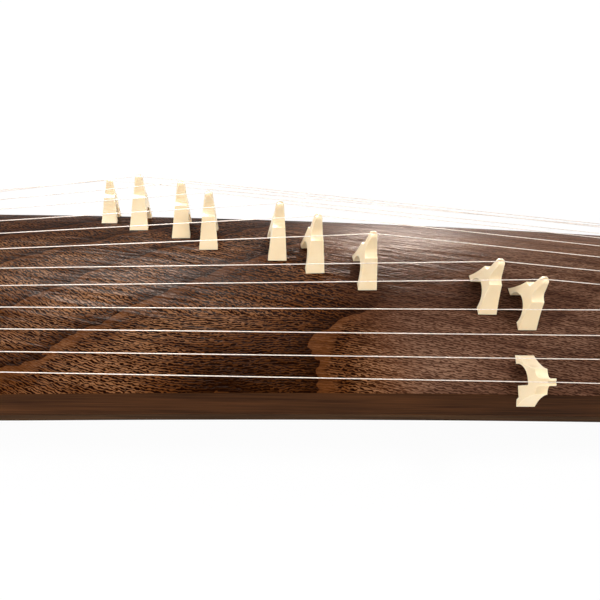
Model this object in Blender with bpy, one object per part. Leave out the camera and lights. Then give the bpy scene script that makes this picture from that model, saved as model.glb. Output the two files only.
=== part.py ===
"""A koto: a hollow arched soundbox on four feet, thirteen strings, and a movable bridge under each string.

X runs from the head (-X) to the tail (+X), string 1 lies on the -Y side, and the feet stand on z = 0.
"""
import math

import bmesh
import bpy
from mathutils import Matrix, Vector

# Soundbox
HEAD_END = -0.9067
TAIL_END = 0.9133
HALF_WIDTH = 0.1214             # at mid length
TAPER = 0.0045                  # half width lost per metre towards the tail
CROWN = 0.0337                  # rise of the arched top above its two edges
SIDE_HEIGHT = 0.0475            # at mid length, with the back board
TOP_BOW = 0.0462                # drop of the top in metres, times the square of the distance from mid length
BACK_BOW = 0.0374               # the same for the underside
TOP_WALL = 0.012                # the board hollowed out under the arch
SIDE_WALL = 0.016
ARRIS = 0.002                   # the broken edge between the top and each side
BACK_WALL = 0.008
BACK_ARRIS = 0.0025
GAP = 0.0003                    # between pieces that touch

# Feet: place along X, height, size along X and Y, distance from the centre line
HEAD_FEET = dict(x=-0.866, height=0.040, long=0.030, wide=0.048, out=0.082)
TAIL_FEET = dict(x=0.840, height=0.026, long=0.026, wide=0.040, out=0.080)

# The rib at each end that the strings cross, and the holes that they leave by
HEAD_RIB_X = -0.790
TAIL_RIB_X = 0.790
HEAD_RIB_HEIGHT = 0.0193        # from the top to a string's centre line
TAIL_RIB_HEIGHT = 0.0170
STRIP_HALF = 0.0016             # the pale strip let into each rib's crest
STRIP_HEIGHT = 0.0015
HEAD_PITCH = 0.01887            # between strings at the head rib
TAIL_PITCH = 0.01728
HEAD_HOLE_X = -0.816
TAIL_HOLE_X = 0.815
HOLE_RADIUS = 0.0020
EYELET = [(0.0016, 0.0), (0.0016, 0.0016), (0.0034, 0.0016), (0.0046, 0.0004), (0.0046, 0.0)]

# Strings
STRINGS = 13
STRING_RADIUS = 0.0007
FIRST_LENGTH = 0.6674           # from the head rib to the bridge of string 5, which sounds the lowest string's octave
SEMITONES = {1: 0, 2: -7, 3: -5, 4: -4, 5: 0, 6: 1, 7: 5, 8: 7, 9: 8, 10: 12, 11: 13, 12: 17, 13: 19}
NUDGE = {1: -0.0033, 2: -0.0012, 3: 0.0012, 4: 0.0004, 5: -0.0015, 6: -0.0039, 7: 0.0045, 8: 0.0064,
         9: -0.0075, 10: 0.0070, 11: -0.0051, 12: 0.0120, 13: 0.0035}
ACROSS = {1: -0.1139, 2: -0.0982, 3: -0.0789, 4: -0.0582, 5: -0.0365, 6: -0.0190, 7: 0.0069, 8: 0.0276,
          9: 0.0466, 10: 0.0638, 11: 0.0836, 12: 0.1031, 13: 0.1165}      # along the arch from its centre line

# Bridges: half spread of the feet, height above the line under the feet, width along X at the sole and at the head
BRIDGE = dict(spread=0.0254, height=0.0545, sole=0.0195, head=0.0078, lean=0.0)
NEAR_BRIDGE = dict(spread=0.0257, height=0.0570, sole=0.0186, head=0.0074, lean=0.0047)
FAR_BRIDGE = dict(spread=0.0206, height=0.0450, sole=0.0158, head=0.0068, lean=0.0)
FOOT_THICK = 0.0085
SHOULDER_RISE = 0.57            # share of the height where the legs end in a ledge
NECK_RISE = 0.71
SHOULDER_HALF = 0.0125
NECK_HALF = 0.0043
HEAD_HALF = 0.0040
ARCH_RISE = 0.37                # share of the height at the crown of the gap between the legs
GROOVE_DEPTH = 0.0026
GROOVE_HALF = 0.0013
STRING_SINK = 0.0015            # a string's centre line below the bridge's tip
WRAP = 0.0030                   # how far the strings stand out where they come round the tail's end
OVER_TAIL = 0.0040              # the height at which they run back over the tail
HOOK_DROP = 0.0095              # how far an edge bridge's toe hangs down the side
HOOK_THICK = 0.0085
HOOK_CLEAR = 0.0006

ALONG = 22                      # stations along the body
ACROSS_FACETS = 20              # facets over the arch

SLOPE = (HEAD_FEET["height"] - TAIL_FEET["height"] + BACK_BOW * (HEAD_FEET["x"] ** 2 - TAIL_FEET["x"] ** 2)) / (
    TAIL_FEET["x"] - HEAD_FEET["x"])
BASE_MID = HEAD_FEET["height"] + BACK_BOW * HEAD_FEET["x"] ** 2 + SLOPE * HEAD_FEET["x"]

COLOURS = {
    "scorched_paulownia": ((0.085, 0.040, 0.021), 0.42, 0.0),
    "scorched_back": ((0.060, 0.030, 0.017), 0.55, 0.0),
    "bare_paulownia": ((0.48, 0.33, 0.19), 0.70, 0.0),
    "rosewood": ((0.045, 0.016, 0.009), 0.30, 0.0),
    "ivory_resin": ((0.88, 0.76, 0.55), 0.28, 0.0),
    "polyester_string": ((0.83, 0.76, 0.68), 0.45, 0.0),
    "brass": ((0.78, 0.56, 0.22), 0.30, 1.0),
}


def material(name):
    """The material of that name, made the first time that it is asked for."""
    found = bpy.data.materials.get(name)
    if found:
        return found
    colour, roughness, metallic = COLOURS[name]
    made = bpy.data.materials.new(name)
    made.use_nodes = True
    shader = made.node_tree.nodes["Principled BSDF"]
    shader.inputs["Base Color"].default_value = (*colour, 1.0)
    shader.inputs["Roughness"].default_value = roughness
    shader.inputs["Metallic"].default_value = metallic
    made.diffuse_color = (*colour, 1.0)
    return made


def add(name, bm, finish, smooth=30.0):
    """Makes an object of a bmesh, with outward faces, and shades it smooth up to an angle in degrees."""
    bmesh.ops.recalc_face_normals(bm, faces=bm.faces)
    mesh = bpy.data.meshes.new(name)
    bm.to_mesh(mesh)
    bm.free()
    mesh.shade_smooth()
    mesh.set_sharp_from_angle(angle=math.radians(smooth))
    mesh.materials.append(material(finish))
    obj = bpy.data.objects.new(name, mesh)
    bpy.context.scene.collection.objects.link(obj)
    return obj


def cut(obj, cutter):
    """Takes a hidden cutter out of an object."""
    cutter.hide_render = True
    cutter.display_type = "WIRE"
    modifier = obj.modifiers.new("cut " + cutter.name, "BOOLEAN")
    modifier.operation = "DIFFERENCE"
    modifier.solver = "EXACT"
    modifier.object = cutter


# The shape of the body

def half_width(x):
    return HALF_WIDTH - TAPER * x


def base_z(x):
    return BASE_MID - BACK_BOW * x * x - SLOPE * x


def edge_z(x):
    return BASE_MID + SIDE_HEIGHT - TOP_BOW * x * x - SLOPE * x


def top_slope(x):
    return -2 * TOP_BOW * x - SLOPE


def arch_radius(x):
    return (half_width(x) ** 2 + CROWN ** 2) / (2 * CROWN)


def arch_centre_z(x):
    return edge_z(x) + CROWN - arch_radius(x)


def edge_angle(x, inset=0.0, wall=0.0):
    """The angle from the arch's top to a line that is inset from the side, on a surface sunk by a wall."""
    return math.asin((half_width(x) - inset) / (arch_radius(x) - wall))


def on_arch(x, angle, height=0.0):
    """A point over the top: angle from the centre line, height square to the surface."""
    r = arch_radius(x) + height
    return Vector((x, r * math.sin(angle), arch_centre_z(x) + r * math.cos(angle)))


def stations(start, end, steps):
    return [start + (end - start) * k / steps for k in range(steps + 1)]


def arch_points(x, radius, limit, steps):
    """Points (y, z) along an arch from +limit to -limit, in radians."""
    return [(radius * math.sin(a), arch_centre_z(x) + radius * math.cos(a)) for a in stations(limit, -limit, steps)]


def loft(xs, section):
    """A solid along X whose outline at each station is section(x), a ring of (y, z), grown by extruding its end."""
    bm = bmesh.new()
    end = bm.faces.new([bm.verts.new((xs[0], y, z)) for y, z in section(xs[0])])
    for count, x in enumerate(xs[1:]):
        last = end
        grown = bmesh.ops.extrude_face_region(bm, geom=[last])["geom"]
        end = next(item for item in grown if isinstance(item, bmesh.types.BMFace))
        if count:
            bmesh.ops.delete(bm, geom=[last], context="FACES_ONLY")
        for vert, (y, z) in zip(end.verts, section(x)):
            vert.co = (x, y, z)
    return bm


def turn(points, centre, angle, steps, axis):
    """A solid of revolution: a closed outline turned part of the way round and capped, or all the way and merged."""
    bm = bmesh.new()
    ring = [bm.verts.new(point) for point in points]
    edges = [bm.edges.new((a, b)) for a, b in zip(ring, ring[1:] + ring[:1])]
    whole = abs(angle) > 2 * math.pi - 1e-6
    bmesh.ops.spin(bm, geom=ring + edges, cent=centre, axis=axis, angle=angle, steps=steps, use_merge=whole)
    if not whole:
        bmesh.ops.holes_fill(bm, edges=[edge for edge in bm.edges if edge.is_boundary])
    return bm


def soundboard_section(x):
    """The carved top and its two sides in one board: an arch with legs, hollow underneath."""
    h, top, bottom = half_width(x), edge_z(x), base_z(x) + BACK_WALL
    outer = arch_points(x, arch_radius(x), edge_angle(x, ARRIS), ACROSS_FACETS)
    inner = arch_points(x, arch_radius(x) - TOP_WALL, edge_angle(x, SIDE_WALL, TOP_WALL), ACROSS_FACETS)
    inside = h - SIDE_WALL
    return ([(h, bottom), (h, top - ARRIS)] + outer + [(-h, top - ARRIS), (-h, bottom), (-inside, bottom)]
            + inner[::-1] + [(inside, bottom)])


def back_section(x):
    h, z = half_width(x), base_z(x)
    c, t = BACK_ARRIS, BACK_WALL - GAP
    return [(h, z + t), (h, z + c), (h - c, z), (c - h, z), (-h, z + c), (-h, z + t)]


def hollow_section(x, drop=0.0, steps=12):
    """What fills the hollow at x with a gap all round, and stops short of the top by drop."""
    r = arch_radius(x) - TOP_WALL - GAP - drop
    side = half_width(x) - SIDE_WALL - GAP
    floor = base_z(x) + BACK_WALL + GAP
    return arch_points(x, r, math.asin(side / r), steps) + [(-side, floor), (side, floor)]


def band_section(x, thick=0.0016):
    """An overlay round the top and both sides."""
    h, bottom, top = half_width(x), base_z(x) + 0.001, edge_z(x)
    near, far = h + GAP, h + GAP + thick
    outer = arch_points(x, arch_radius(x) + GAP + thick, edge_angle(x), ACROSS_FACETS)
    inner = arch_points(x, arch_radius(x) + GAP, edge_angle(x, ARRIS), ACROSS_FACETS)
    return ([(near, bottom), (far, bottom), (far, top - ARRIS)] + outer
            + [(-far, top - ARRIS), (-far, bottom), (-near, bottom), (-near, top - ARRIS)]
            + inner[::-1] + [(near, top - ARRIS)])


def rounded_prism(length, width, depth, power, steps=28):
    """An upright prism whose outline is an oval squared off by its power."""
    bm = bmesh.new()
    ring = []
    for k in range(steps):
        t = 2 * math.pi * k / steps
        c, s = math.cos(t), math.sin(t)
        ring.append(bm.verts.new((length / 2 * math.copysign(abs(c) ** (2 / power), c),
                                  width / 2 * math.copysign(abs(s) ** (2 / power), s), -depth / 2)))
    bm.faces.new(ring)
    top = bmesh.ops.extrude_face_region(bm, geom=bm.faces[:])["geom"]
    bmesh.ops.translate(bm, verts=[v for v in top if isinstance(v, bmesh.types.BMVert)], vec=(0, 0, depth))
    return bm


def head_angle(i):
    """Where string i lies over the arch at the head, spaced evenly along the rib's crest."""
    return math.asin((i - 7) * HEAD_PITCH / (arch_radius(HEAD_RIB_X) + HEAD_RIB_HEIGHT))


def tail_angle(i):
    return math.asin((i - 7) * TAIL_PITCH / (arch_radius(TAIL_RIB_X) + TAIL_RIB_HEIGHT))


def peg_holes():
    """The cutter for the strings' holes through the top, head and tail."""
    bm = bmesh.new()
    for x, angle_of in ((HEAD_HOLE_X, head_angle), (TAIL_HOLE_X, tail_angle)):
        for i in range(1, STRINGS + 1):
            angle = angle_of(i)
            place = Matrix.Translation(on_arch(x, angle, -TOP_WALL / 2)) @ Matrix.Rotation(-angle, 4, "X")
            bmesh.ops.create_cone(bm, cap_ends=True, segments=10, radius1=HOLE_RADIUS, radius2=HOLE_RADIUS,
                                  depth=TOP_WALL * 1.8, matrix=place)
    return bm


# Body

def make_body():
    xs = stations(HEAD_END, TAIL_END, ALONG)
    board = add("soundboard_shell", loft(xs, soundboard_section), "scorched_paulownia")
    cut(board, add("string_hole_cutter", peg_holes(), "rosewood"))
    back = add("back_board", loft(xs, back_section), "scorched_back")
    for name, x, length, width in (("head_sound_hole", -0.700, 0.150, 0.112), ("tail_sound_hole", 0.705, 0.135, 0.104)):
        bm = rounded_prism(length, width, 0.05, 2.4)
        bmesh.ops.translate(bm, verts=bm.verts, vec=(x, 0, base_z(x)))
        cut(back, add(name + "_cutter", bm, "scorched_back"))


def make_braces():
    """Boards across the hollow, each with a window, and the two end plates."""
    for name, x in (("head_brace", -0.560), ("middle_brace", 0.0), ("tail_brace", 0.560)):
        brace = add(name, loft([x - 0.006, x + 0.006], hollow_section), "bare_paulownia")
        bm = rounded_prism(0.026, 0.110, 0.05, 2.6, 24)
        bmesh.ops.rotate(bm, verts=bm.verts, matrix=Matrix.Rotation(math.pi / 2, 3, "Y"))
        bmesh.ops.translate(bm, verts=bm.verts, vec=(x, 0, base_z(x) + 0.030))
        cut(brace, add(name + "_cutter", bm, "bare_paulownia"))
    add("head_end_plate", loft([HEAD_END + 0.001, HEAD_END + 0.015], hollow_section), "rosewood")
    slotted = loft([TAIL_END - 0.013, TAIL_END - 0.001], lambda x: hollow_section(x, 0.011))
    add("tail_end_plate", slotted, "rosewood")


def make_tongue():
    """The tongue under the head's mouth: a rounded lip whose rim curves up, fixed to the end plate."""
    root, reach, half, thick = HEAD_END + 0.001 - GAP, 0.011, 0.040, 0.007
    low = base_z(HEAD_END) + 0.012
    bm = bmesh.new()
    rim = [(root - reach * math.cos(t), half * math.sin(t)) for t in stations(-math.pi / 2, math.pi / 2, 14)]
    face = bm.faces.new([bm.verts.new((x, y, low + 0.005 * ((root - x) / reach) ** 2)) for x, y in rim])
    top = bmesh.ops.extrude_face_region(bm, geom=[face])["geom"]
    verts = [v for v in top if isinstance(v, bmesh.types.BMVert)]
    bmesh.ops.translate(bm, verts=verts, vec=(0, 0, thick))
    add("head_tongue", bm, "rosewood")


def make_bands():
    for name, start, end in (("head_edge_band", HEAD_END, HEAD_END + 0.018), ("tail_edge_band", TAIL_END - 0.014, TAIL_END)):
        add(name, loft([start, end], band_section), "rosewood")


def leaf_section(x_front, x_back, angle):
    """The front edge of the tail cover at an angle over the arch: five lobes between two straight ends."""
    lobe = abs(math.cos(2.5 * math.pi * angle / edge_angle(x_back)))
    return x_front + (x_back - x_front) * 0.42 * (1 - lobe ** 0.6)


def make_tail_cover():
    """A thin leaf-edged cover on the tail, which keeps the returning strings off the top."""
    front, back, thick, steps = 0.836, TAIL_END - 0.014 - GAP, 0.0016, 40
    bm = bmesh.new()
    bmesh.ops.create_grid(bm, x_segments=1, y_segments=steps, size=1.0)
    for vert in bm.verts:
        angle = vert.co.y * edge_angle(back, 0.003)
        x = back if vert.co.x > 0 else leaf_section(front, back, angle)
        vert.co = on_arch(x, angle, GAP)
    lid = bmesh.ops.extrude_face_region(bm, geom=bm.faces[:])["geom"]
    for vert in [v for v in lid if isinstance(v, bmesh.types.BMVert)]:
        angle = math.atan2(vert.co.y, vert.co.z - arch_centre_z(vert.co.x))
        vert.co = on_arch(vert.co.x, angle, GAP + thick)
    add("tail_leaf_cover", bm, "rosewood")


def spin_over_arch(x0, profile, inset, steps):
    """A bar over the arch: profile (x offset, height) turned about the arch's centre, then laid on the bow."""
    limit, r, centre = edge_angle(x0, inset), arch_radius(x0), (x0, 0, arch_centre_z(x0))
    start = [(x0 + dx, (r + h) * math.sin(limit), centre[2] + (r + h) * math.cos(limit)) for dx, h in profile]
    bm = turn(start, centre, 2 * limit, steps, (1, 0, 0))
    for vert in bm.verts:
        vert.co.z += edge_z(vert.co.x) - edge_z(x0)
    return bm


def make_ribs():
    """The two curved ribs that the strings cross, each with a pale strip along its crest."""
    for name, x, height, inset in (("head_rib", HEAD_RIB_X, HEAD_RIB_HEIGHT, 0.002),
                                   ("tail_rib", TAIL_RIB_X, TAIL_RIB_HEIGHT, 0.002)):
        out = math.copysign(1.0, x)
        crest = height - STRING_RADIUS - 2 * GAP - STRIP_HEIGHT
        outline = [(-0.0120, GAP), (-0.0112, crest * 0.20), (-0.0075, crest * 0.42), (-0.0042, crest * 0.78),
                   (-0.0030, crest), (0.0034, crest), (0.0062, crest * 0.84), (0.0098, crest * 0.45),
                   (0.0118, crest * 0.20), (0.0120, GAP)]
        add(name, spin_over_arch(x, [(out * dx, h) for dx, h in outline], inset, ACROSS_FACETS), "rosewood", 50)
        low = crest + GAP
        strip = [(-STRIP_HALF, low), (-STRIP_HALF, low + STRIP_HEIGHT), (STRIP_HALF, low + STRIP_HEIGHT), (STRIP_HALF, low)]
        add(name + "_strip", spin_over_arch(x, strip, inset + 0.002, ACROSS_FACETS), "ivory_resin")


def make_eyelets():
    """A turned collar round each string's hole at the head."""
    for i in range(1, STRINGS + 1):
        angle = head_angle(i)
        bm = turn([(r, 0, z) for r, z in EYELET], (0, 0, 0), 2 * math.pi, 12, (0, 0, 1))
        tilt = Matrix.Rotation(-math.atan(top_slope(HEAD_HOLE_X)), 4, "Y") @ Matrix.Rotation(-angle, 4, "X")
        place = Matrix.Translation(on_arch(HEAD_HOLE_X, angle, GAP)) @ tilt
        bmesh.ops.transform(bm, verts=bm.verts, matrix=place)
        add(f"string_eyelet_{i:02d}", bm, "brass", 40)


def make_feet():
    """Four carved feet, waisted above a spread sole, the head pair taller."""
    for end, foot in (("head", HEAD_FEET), ("tail", TAIL_FEET)):
        for side, sign in (("near", -1), ("far", 1)):
            half, x0 = foot["wide"] / 2, foot["x"]
            rise = base_z(x0)
            profile = [(1.00, 1.00), (0.97, 0.80), (0.78, 0.55), (0.70, 0.38), (0.76, 0.20), (0.88, 0.08), (0.86, 0.0)]
            right = [(half * w, rise * t) for w, t in profile]
            outline = right + [(-y, z) for y, z in reversed(right)]
            bm = bmesh.new()
            face = bm.faces.new([bm.verts.new((x0 - foot["long"] / 2, sign * foot["out"] + y, z)) for y, z in outline])
            ends = bmesh.ops.extrude_face_region(bm, geom=[face])["geom"]
            bmesh.ops.translate(bm, verts=[v for v in ends if isinstance(v, bmesh.types.BMVert)], vec=(foot["long"], 0, 0))
            for vert in bm.verts:
                share = vert.co.z / rise
                if share > 0.99:
                    vert.co.z = base_z(vert.co.x) - GAP
                vert.co.x = x0 + (vert.co.x - x0) * (0.80 + 0.20 * min(share, 1.0))
            for vert in bm.verts:
                if vert.co.z > rise * 0.9:
                    vert.co.z = base_z(vert.co.x) - GAP
            add(f"{end}_foot_{side}", bm, "rosewood", 40)


# Bridges

def string_x(i):
    return HEAD_RIB_X + FIRST_LENGTH * 2 ** (-SEMITONES[i] / 12) + NUDGE[i]


def bridge_kind(i):
    return {1: NEAR_BRIDGE, STRINGS: FAR_BRIDGE}.get(i, BRIDGE)


def bridge_frame(i):
    """A bridge's place: origin on the line under its feet, Z square to the arch, X along the top's slope."""
    x = string_x(i)
    angle = ACROSS[i] / arch_radius(x)
    sink = arch_radius(x) * (math.cos(math.asin(bridge_kind(i)["spread"] / arch_radius(x))) - 1)
    tilt = Matrix.Rotation(-math.atan(top_slope(x)), 4, "Y") @ Matrix.Rotation(-angle, 4, "X")
    return Matrix.Translation(on_arch(x, angle, sink)) @ tilt


def sole_z(y, radius, spread):
    """The arch under a foot, above the line between the two feet, with the gap."""
    return math.sqrt(radius ** 2 - y ** 2) - math.sqrt(radius ** 2 - spread ** 2) + GAP


def upper_outline(kind, side):
    """From a leg's shoulder to the string groove, on one side of the head."""
    height, lean = kind["height"], kind["lean"]
    shoulder, neck = height * SHOULDER_RISE, height * NECK_RISE
    points = [(SHOULDER_HALF, shoulder)]
    for t in stations(0.25, 0.75, 2):
        u = t * math.pi / 2
        points.append((SHOULDER_HALF - (SHOULDER_HALF - NECK_HALF) * math.sin(u), neck - (neck - shoulder) * math.cos(u)))
    points += [(NECK_HALF, neck), (HEAD_HALF, height - 0.0020), (HEAD_HALF - 0.0014, height),
               (GROOVE_HALF, height), (GROOVE_HALF * 0.8, height - GROOVE_DEPTH * 0.7)]
    return [(lean + side * y, z) for y, z in points]


def arch_gap(left, right, low_left, low_right, crown, steps=8):
    """The gap between the legs, as a half oval from the left leg's foot to the right leg's."""
    centre, half = (left + right) / 2, (right - left) / 2
    points = []
    for t in stations(math.pi, 0.0, steps):
        low = low_left if t > math.pi / 2 else low_right
        points.append((centre + half * math.cos(t), low + (crown - low) * math.sin(t) ** 0.85))
    return points


def plain_outline(kind, radius):
    """A bridge seen along its string: two spread legs, a ledge, a slim neck and a grooved tip."""
    spread, height = kind["spread"], kind["height"]
    inner = spread - FOOT_THICK
    step = 0.0030
    right = [(spread, sole_z(spread, radius, spread)), (spread - 0.0006, 0.0030)] + upper_outline(kind, 1)
    top = [(kind["lean"], height - GROOVE_DEPTH)]
    left = [(-y, z) for y, z in reversed(right)]
    gap = arch_gap(-inner + 0.0005, inner - 0.0005, step, step, height * ARCH_RISE)
    feet_left = [(-inner, sole_z(inner, radius, spread))]
    feet_right = [(inner, sole_z(inner, radius, spread))]
    return right + top + left + feet_left + gap + feet_right


def hooked_outline(kind, x, angle):
    """An edge bridge: its outer foot rests on the top's rim, and a toe hooks down over the side."""
    radius, spread, height = arch_radius(x), kind["spread"], kind["height"]
    beyond = edge_angle(x) - abs(angle)
    drop = radius * math.cos(math.asin(spread / radius))
    rim = Vector((radius * math.sin(beyond), radius * math.cos(beyond) - drop))
    down = Vector((math.sin(abs(angle)), -math.cos(abs(angle))))
    out = Vector((math.cos(abs(angle)), math.sin(abs(angle))))
    toe_top = rim + out * HOOK_CLEAR + down * ARRIS
    toe_in = rim + out * HOOK_CLEAR + down * HOOK_DROP
    toe_out = toe_in + out * HOOK_THICK
    ankle = toe_out - down * 0.004 + out * 0.0004
    rest_y = rim.x - 0.0015
    outer_inner = rim.x - 0.0100
    inner = spread - FOOT_THICK
    outer = [tuple(toe_out), tuple(ankle)] + upper_outline(kind, 1)
    tip = [(kind["lean"], height - GROOVE_DEPTH)]
    far = [(lean_y, z) for lean_y, z in reversed(upper_outline(kind, -1))]
    foot = [(-spread + 0.0006, 0.0030), (-spread, sole_z(spread, radius, spread)), (-inner, sole_z(inner, radius, spread))]
    gap = arch_gap(-inner + 0.0005, outer_inner, 0.0030, 0.0045, height * ARCH_RISE * 0.92)
    rest = [(outer_inner, sole_z(outer_inner, radius, spread)), (rest_y, sole_z(rest_y, radius, spread))]
    hook = [tuple(rim + out * HOOK_CLEAR + Vector((0, 0.0008))), tuple(toe_top), tuple(toe_in)]
    return outer + tip + far + foot + gap + rest + hook


def make_bridge(i):
    """One bridge, cut from its outline and tapered from the sole to the tip."""
    kind, x = bridge_kind(i), string_x(i)
    angle = ACROSS[i] / arch_radius(x)
    hooked = i in (1, STRINGS)
    outline = hooked_outline(kind, x, angle) if hooked else plain_outline(kind, arch_radius(x))
    if i == 1:
        outline = [(-y, z) for y, z in outline]
    bm = bmesh.new()
    face = bm.faces.new([bm.verts.new((-0.5, y, z)) for y, z in outline])
    ends = bmesh.ops.extrude_face_region(bm, geom=[face])["geom"]
    bmesh.ops.translate(bm, verts=[v for v in ends if isinstance(v, bmesh.types.BMVert)], vec=(1, 0, 0))
    for vert in bm.verts:
        share = vert.co.z / kind["height"]
        vert.co.x *= kind["sole"] + (kind["head"] - kind["sole"]) * share
    bridge = add(f"bridge_{i:02d}", bm, "ivory_resin", 35)
    bridge.matrix_world = bridge_frame(i)


# Strings

def soften(points, corners, radius=0.004, steps=2):
    """Rounds the chosen corners of a route."""
    out = []
    for k, point in enumerate(points):
        if k not in corners:
            out.append(point)
            continue
        before, after = points[k - 1] - point, points[k + 1] - point
        a = point + before.normalized() * min(radius, before.length * 0.45)
        b = point + after.normalized() * min(radius, after.length * 0.45)
        for t in stations(0.0, 1.0, steps):
            out.append(a * (1 - t) ** 2 + point * 2 * t * (1 - t) + b * t ** 2)
    return out


def string_route(i):
    """Up through the head hole, over the rib, bridge and tail rib, down the tail hole, and back over the tail."""
    kind, frame = bridge_kind(i), bridge_frame(i)
    side = -1 if i == 1 else 1
    across = side * kind["lean"]
    tip = kind["height"] - STRING_SINK
    grip = kind["head"] / 2 + 0.0006

    def head(x, height):
        return on_arch(x, head_angle(i), height)

    def tail(x, height):
        return on_arch(x, tail_angle(i), height)

    under = -TOP_WALL - 0.0055
    points = [head(HEAD_HOLE_X, under), head(HEAD_HOLE_X, 0.0045),
              head(HEAD_RIB_X - STRIP_HALF, HEAD_RIB_HEIGHT), head(HEAD_RIB_X + STRIP_HALF, HEAD_RIB_HEIGHT),
              frame @ Vector((-grip, across, tip)), frame @ Vector((grip, across, tip)),
              tail(TAIL_RIB_X - STRIP_HALF, TAIL_RIB_HEIGHT), tail(TAIL_RIB_X + STRIP_HALF, TAIL_RIB_HEIGHT),
              tail(TAIL_HOLE_X, 0.0030), tail(TAIL_HOLE_X, under),
              tail(TAIL_END + WRAP, under), tail(TAIL_END + WRAP, OVER_TAIL),
              tail(TAIL_END - 0.020, OVER_TAIL), tail(TAIL_HOLE_X + 0.008, OVER_TAIL)]
    return soften(points, {1, 8, 9, 10, 11})


def make_string(i):
    """A round string, one unbroken tube along its route."""
    route = string_route(i)
    curve = bpy.data.curves.new(f"string_{i:02d}", "CURVE")
    curve.dimensions = "3D"
    curve.bevel_depth = STRING_RADIUS
    curve.bevel_resolution = 2
    curve.use_fill_caps = True
    spline = curve.splines.new("POLY")
    spline.points.add(len(route) - 1)
    for point, place in zip(spline.points, route):
        point.co = (*place, 1.0)
    curve.materials.append(material("polyester_string"))
    bpy.context.scene.collection.objects.link(bpy.data.objects.new(f"string_{i:02d}", curve))


def main():
    for obj in list(bpy.data.objects):
        bpy.data.objects.remove(obj)
    make_body()
    make_braces()
    make_tongue()
    make_bands()
    make_tail_cover()
    make_ribs()
    make_eyelets()
    make_feet()
    for i in range(1, STRINGS + 1):
        make_bridge(i)
        make_string(i)


main()
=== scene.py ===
"""Dresses the koto: fine meshes over its solids, procedural finishes, a soft white studio and the camera."""
import logging
import math
from dataclasses import dataclass, field
from enum import Enum
from typing import Callable, Sequence

import bmesh
import bpy
from mathutils import Matrix, Vector


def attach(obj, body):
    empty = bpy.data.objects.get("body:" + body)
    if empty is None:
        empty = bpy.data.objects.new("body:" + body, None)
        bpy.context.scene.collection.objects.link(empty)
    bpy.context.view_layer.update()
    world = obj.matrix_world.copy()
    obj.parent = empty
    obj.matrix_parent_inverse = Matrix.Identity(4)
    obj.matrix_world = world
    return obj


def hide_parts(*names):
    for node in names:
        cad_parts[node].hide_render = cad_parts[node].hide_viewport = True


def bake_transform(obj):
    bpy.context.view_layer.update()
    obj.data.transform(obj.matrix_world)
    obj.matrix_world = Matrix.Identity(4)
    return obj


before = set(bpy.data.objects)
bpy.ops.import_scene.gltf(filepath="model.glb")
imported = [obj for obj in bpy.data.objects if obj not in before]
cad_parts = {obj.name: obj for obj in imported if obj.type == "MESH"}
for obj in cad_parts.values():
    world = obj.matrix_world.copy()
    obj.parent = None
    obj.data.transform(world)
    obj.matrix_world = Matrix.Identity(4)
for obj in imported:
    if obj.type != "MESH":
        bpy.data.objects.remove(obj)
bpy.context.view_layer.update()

log = logging.getLogger("koto")
Point = tuple[float, float]
SOUNDBOX = "soundbox"


class Slot(Enum):
    """The record's material slots."""

    TOP = "scorched_paulownia"
    BACK = "scorched_back"
    BARE = "bare_paulownia"
    ROSEWOOD = "rosewood"
    IVORY = "ivory_resin"
    STRING = "polyester_string"
    BRASS = "brass"


# Colour and nodes


def colour(text: str) -> tuple[float, float, float, float]:
    """Turns an sRGB hex colour to linear.

    Args:
        text: six hex digits.

    Returns:
        Linear red, green, blue and an alpha of 1.
    """
    parts = [int(text[k:k + 2], 16) / 255 for k in (0, 2, 4)]
    linear = [c / 12.92 if c <= 0.04045 else ((c + 0.055) / 1.055) ** 2.4 for c in parts]
    return (linear[0], linear[1], linear[2], 1.0)


def add_node(tree: bpy.types.NodeTree, kind: str, links: dict | None = None,
             stops: Sequence[tuple] = (), **settings) -> bpy.types.Node:
    """Adds a node with its settings, values and links.

    Args:
        tree: the node tree.
        kind: the node's type.
        links: input name or number to a value, or to the socket that feeds it.
        stops: a ramp's (position, colour) pairs.
        settings: the node's own properties.

    Returns:
        The new node.
    """
    made = tree.nodes.new(kind)
    for name, value in settings.items():
        setattr(made, name, value)
    for name, value in (links or {}).items():
        if isinstance(value, bpy.types.NodeSocket):
            tree.links.new(value, made.inputs[name])
        else:
            made.inputs[name].default_value = value
    for count, (position, tint) in enumerate(stops):
        elements = made.color_ramp.elements
        stop = elements[count] if count < 2 else elements.new(position)
        stop.position = position
        stop.color = tint
    return made


def grey(value: float) -> tuple[float, float, float, float]:
    """A neutral ramp colour."""
    return (value, value, value, 1.0)


def per_mm(size: float) -> float:
    """The scale at which a pattern on metres repeats about every so many millimetres."""
    return 1000.0 / size


@dataclass(frozen=True)
class Finish:
    """A finish, made once and then shared by every piece that wears it."""

    name: str
    slot: Slot

    def material(self) -> bpy.types.Material:
        """The finish's material, built the first time that it is asked for."""
        found = bpy.data.materials.get(self.name)
        if found:
            return found
        made = bpy.data.materials.new(self.name)
        made.use_nodes = True
        self.build(made.node_tree, made.node_tree.nodes["Principled BSDF"])
        return made

    def build(self, tree: bpy.types.NodeTree, shader: bpy.types.Node) -> None:
        """Fills the material's node tree.

        Args:
            tree: the material's tree.
            shader: its Principled BSDF.
        """
        raise NotImplementedError

    @staticmethod
    def place(tree: bpy.types.NodeTree, scale: Sequence[float], turn: float = 0.0) -> bpy.types.NodeSocket:
        """Object coordinates, turned about Z and stretched.

        Args:
            tree: the material's tree.
            scale: the pattern's repeats per metre along each axis.
            turn: degrees about Z before the stretch.

        Returns:
            The vector socket.
        """
        base = add_node(tree, "ShaderNodeTexCoord").outputs["Object"]
        turned = add_node(tree, "ShaderNodeMapping", {"Vector": base, "Rotation": (0, 0, math.radians(turn))})
        return add_node(tree, "ShaderNodeMapping", {"Vector": turned.outputs[0], "Scale": tuple(scale)}).outputs[0]


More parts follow.
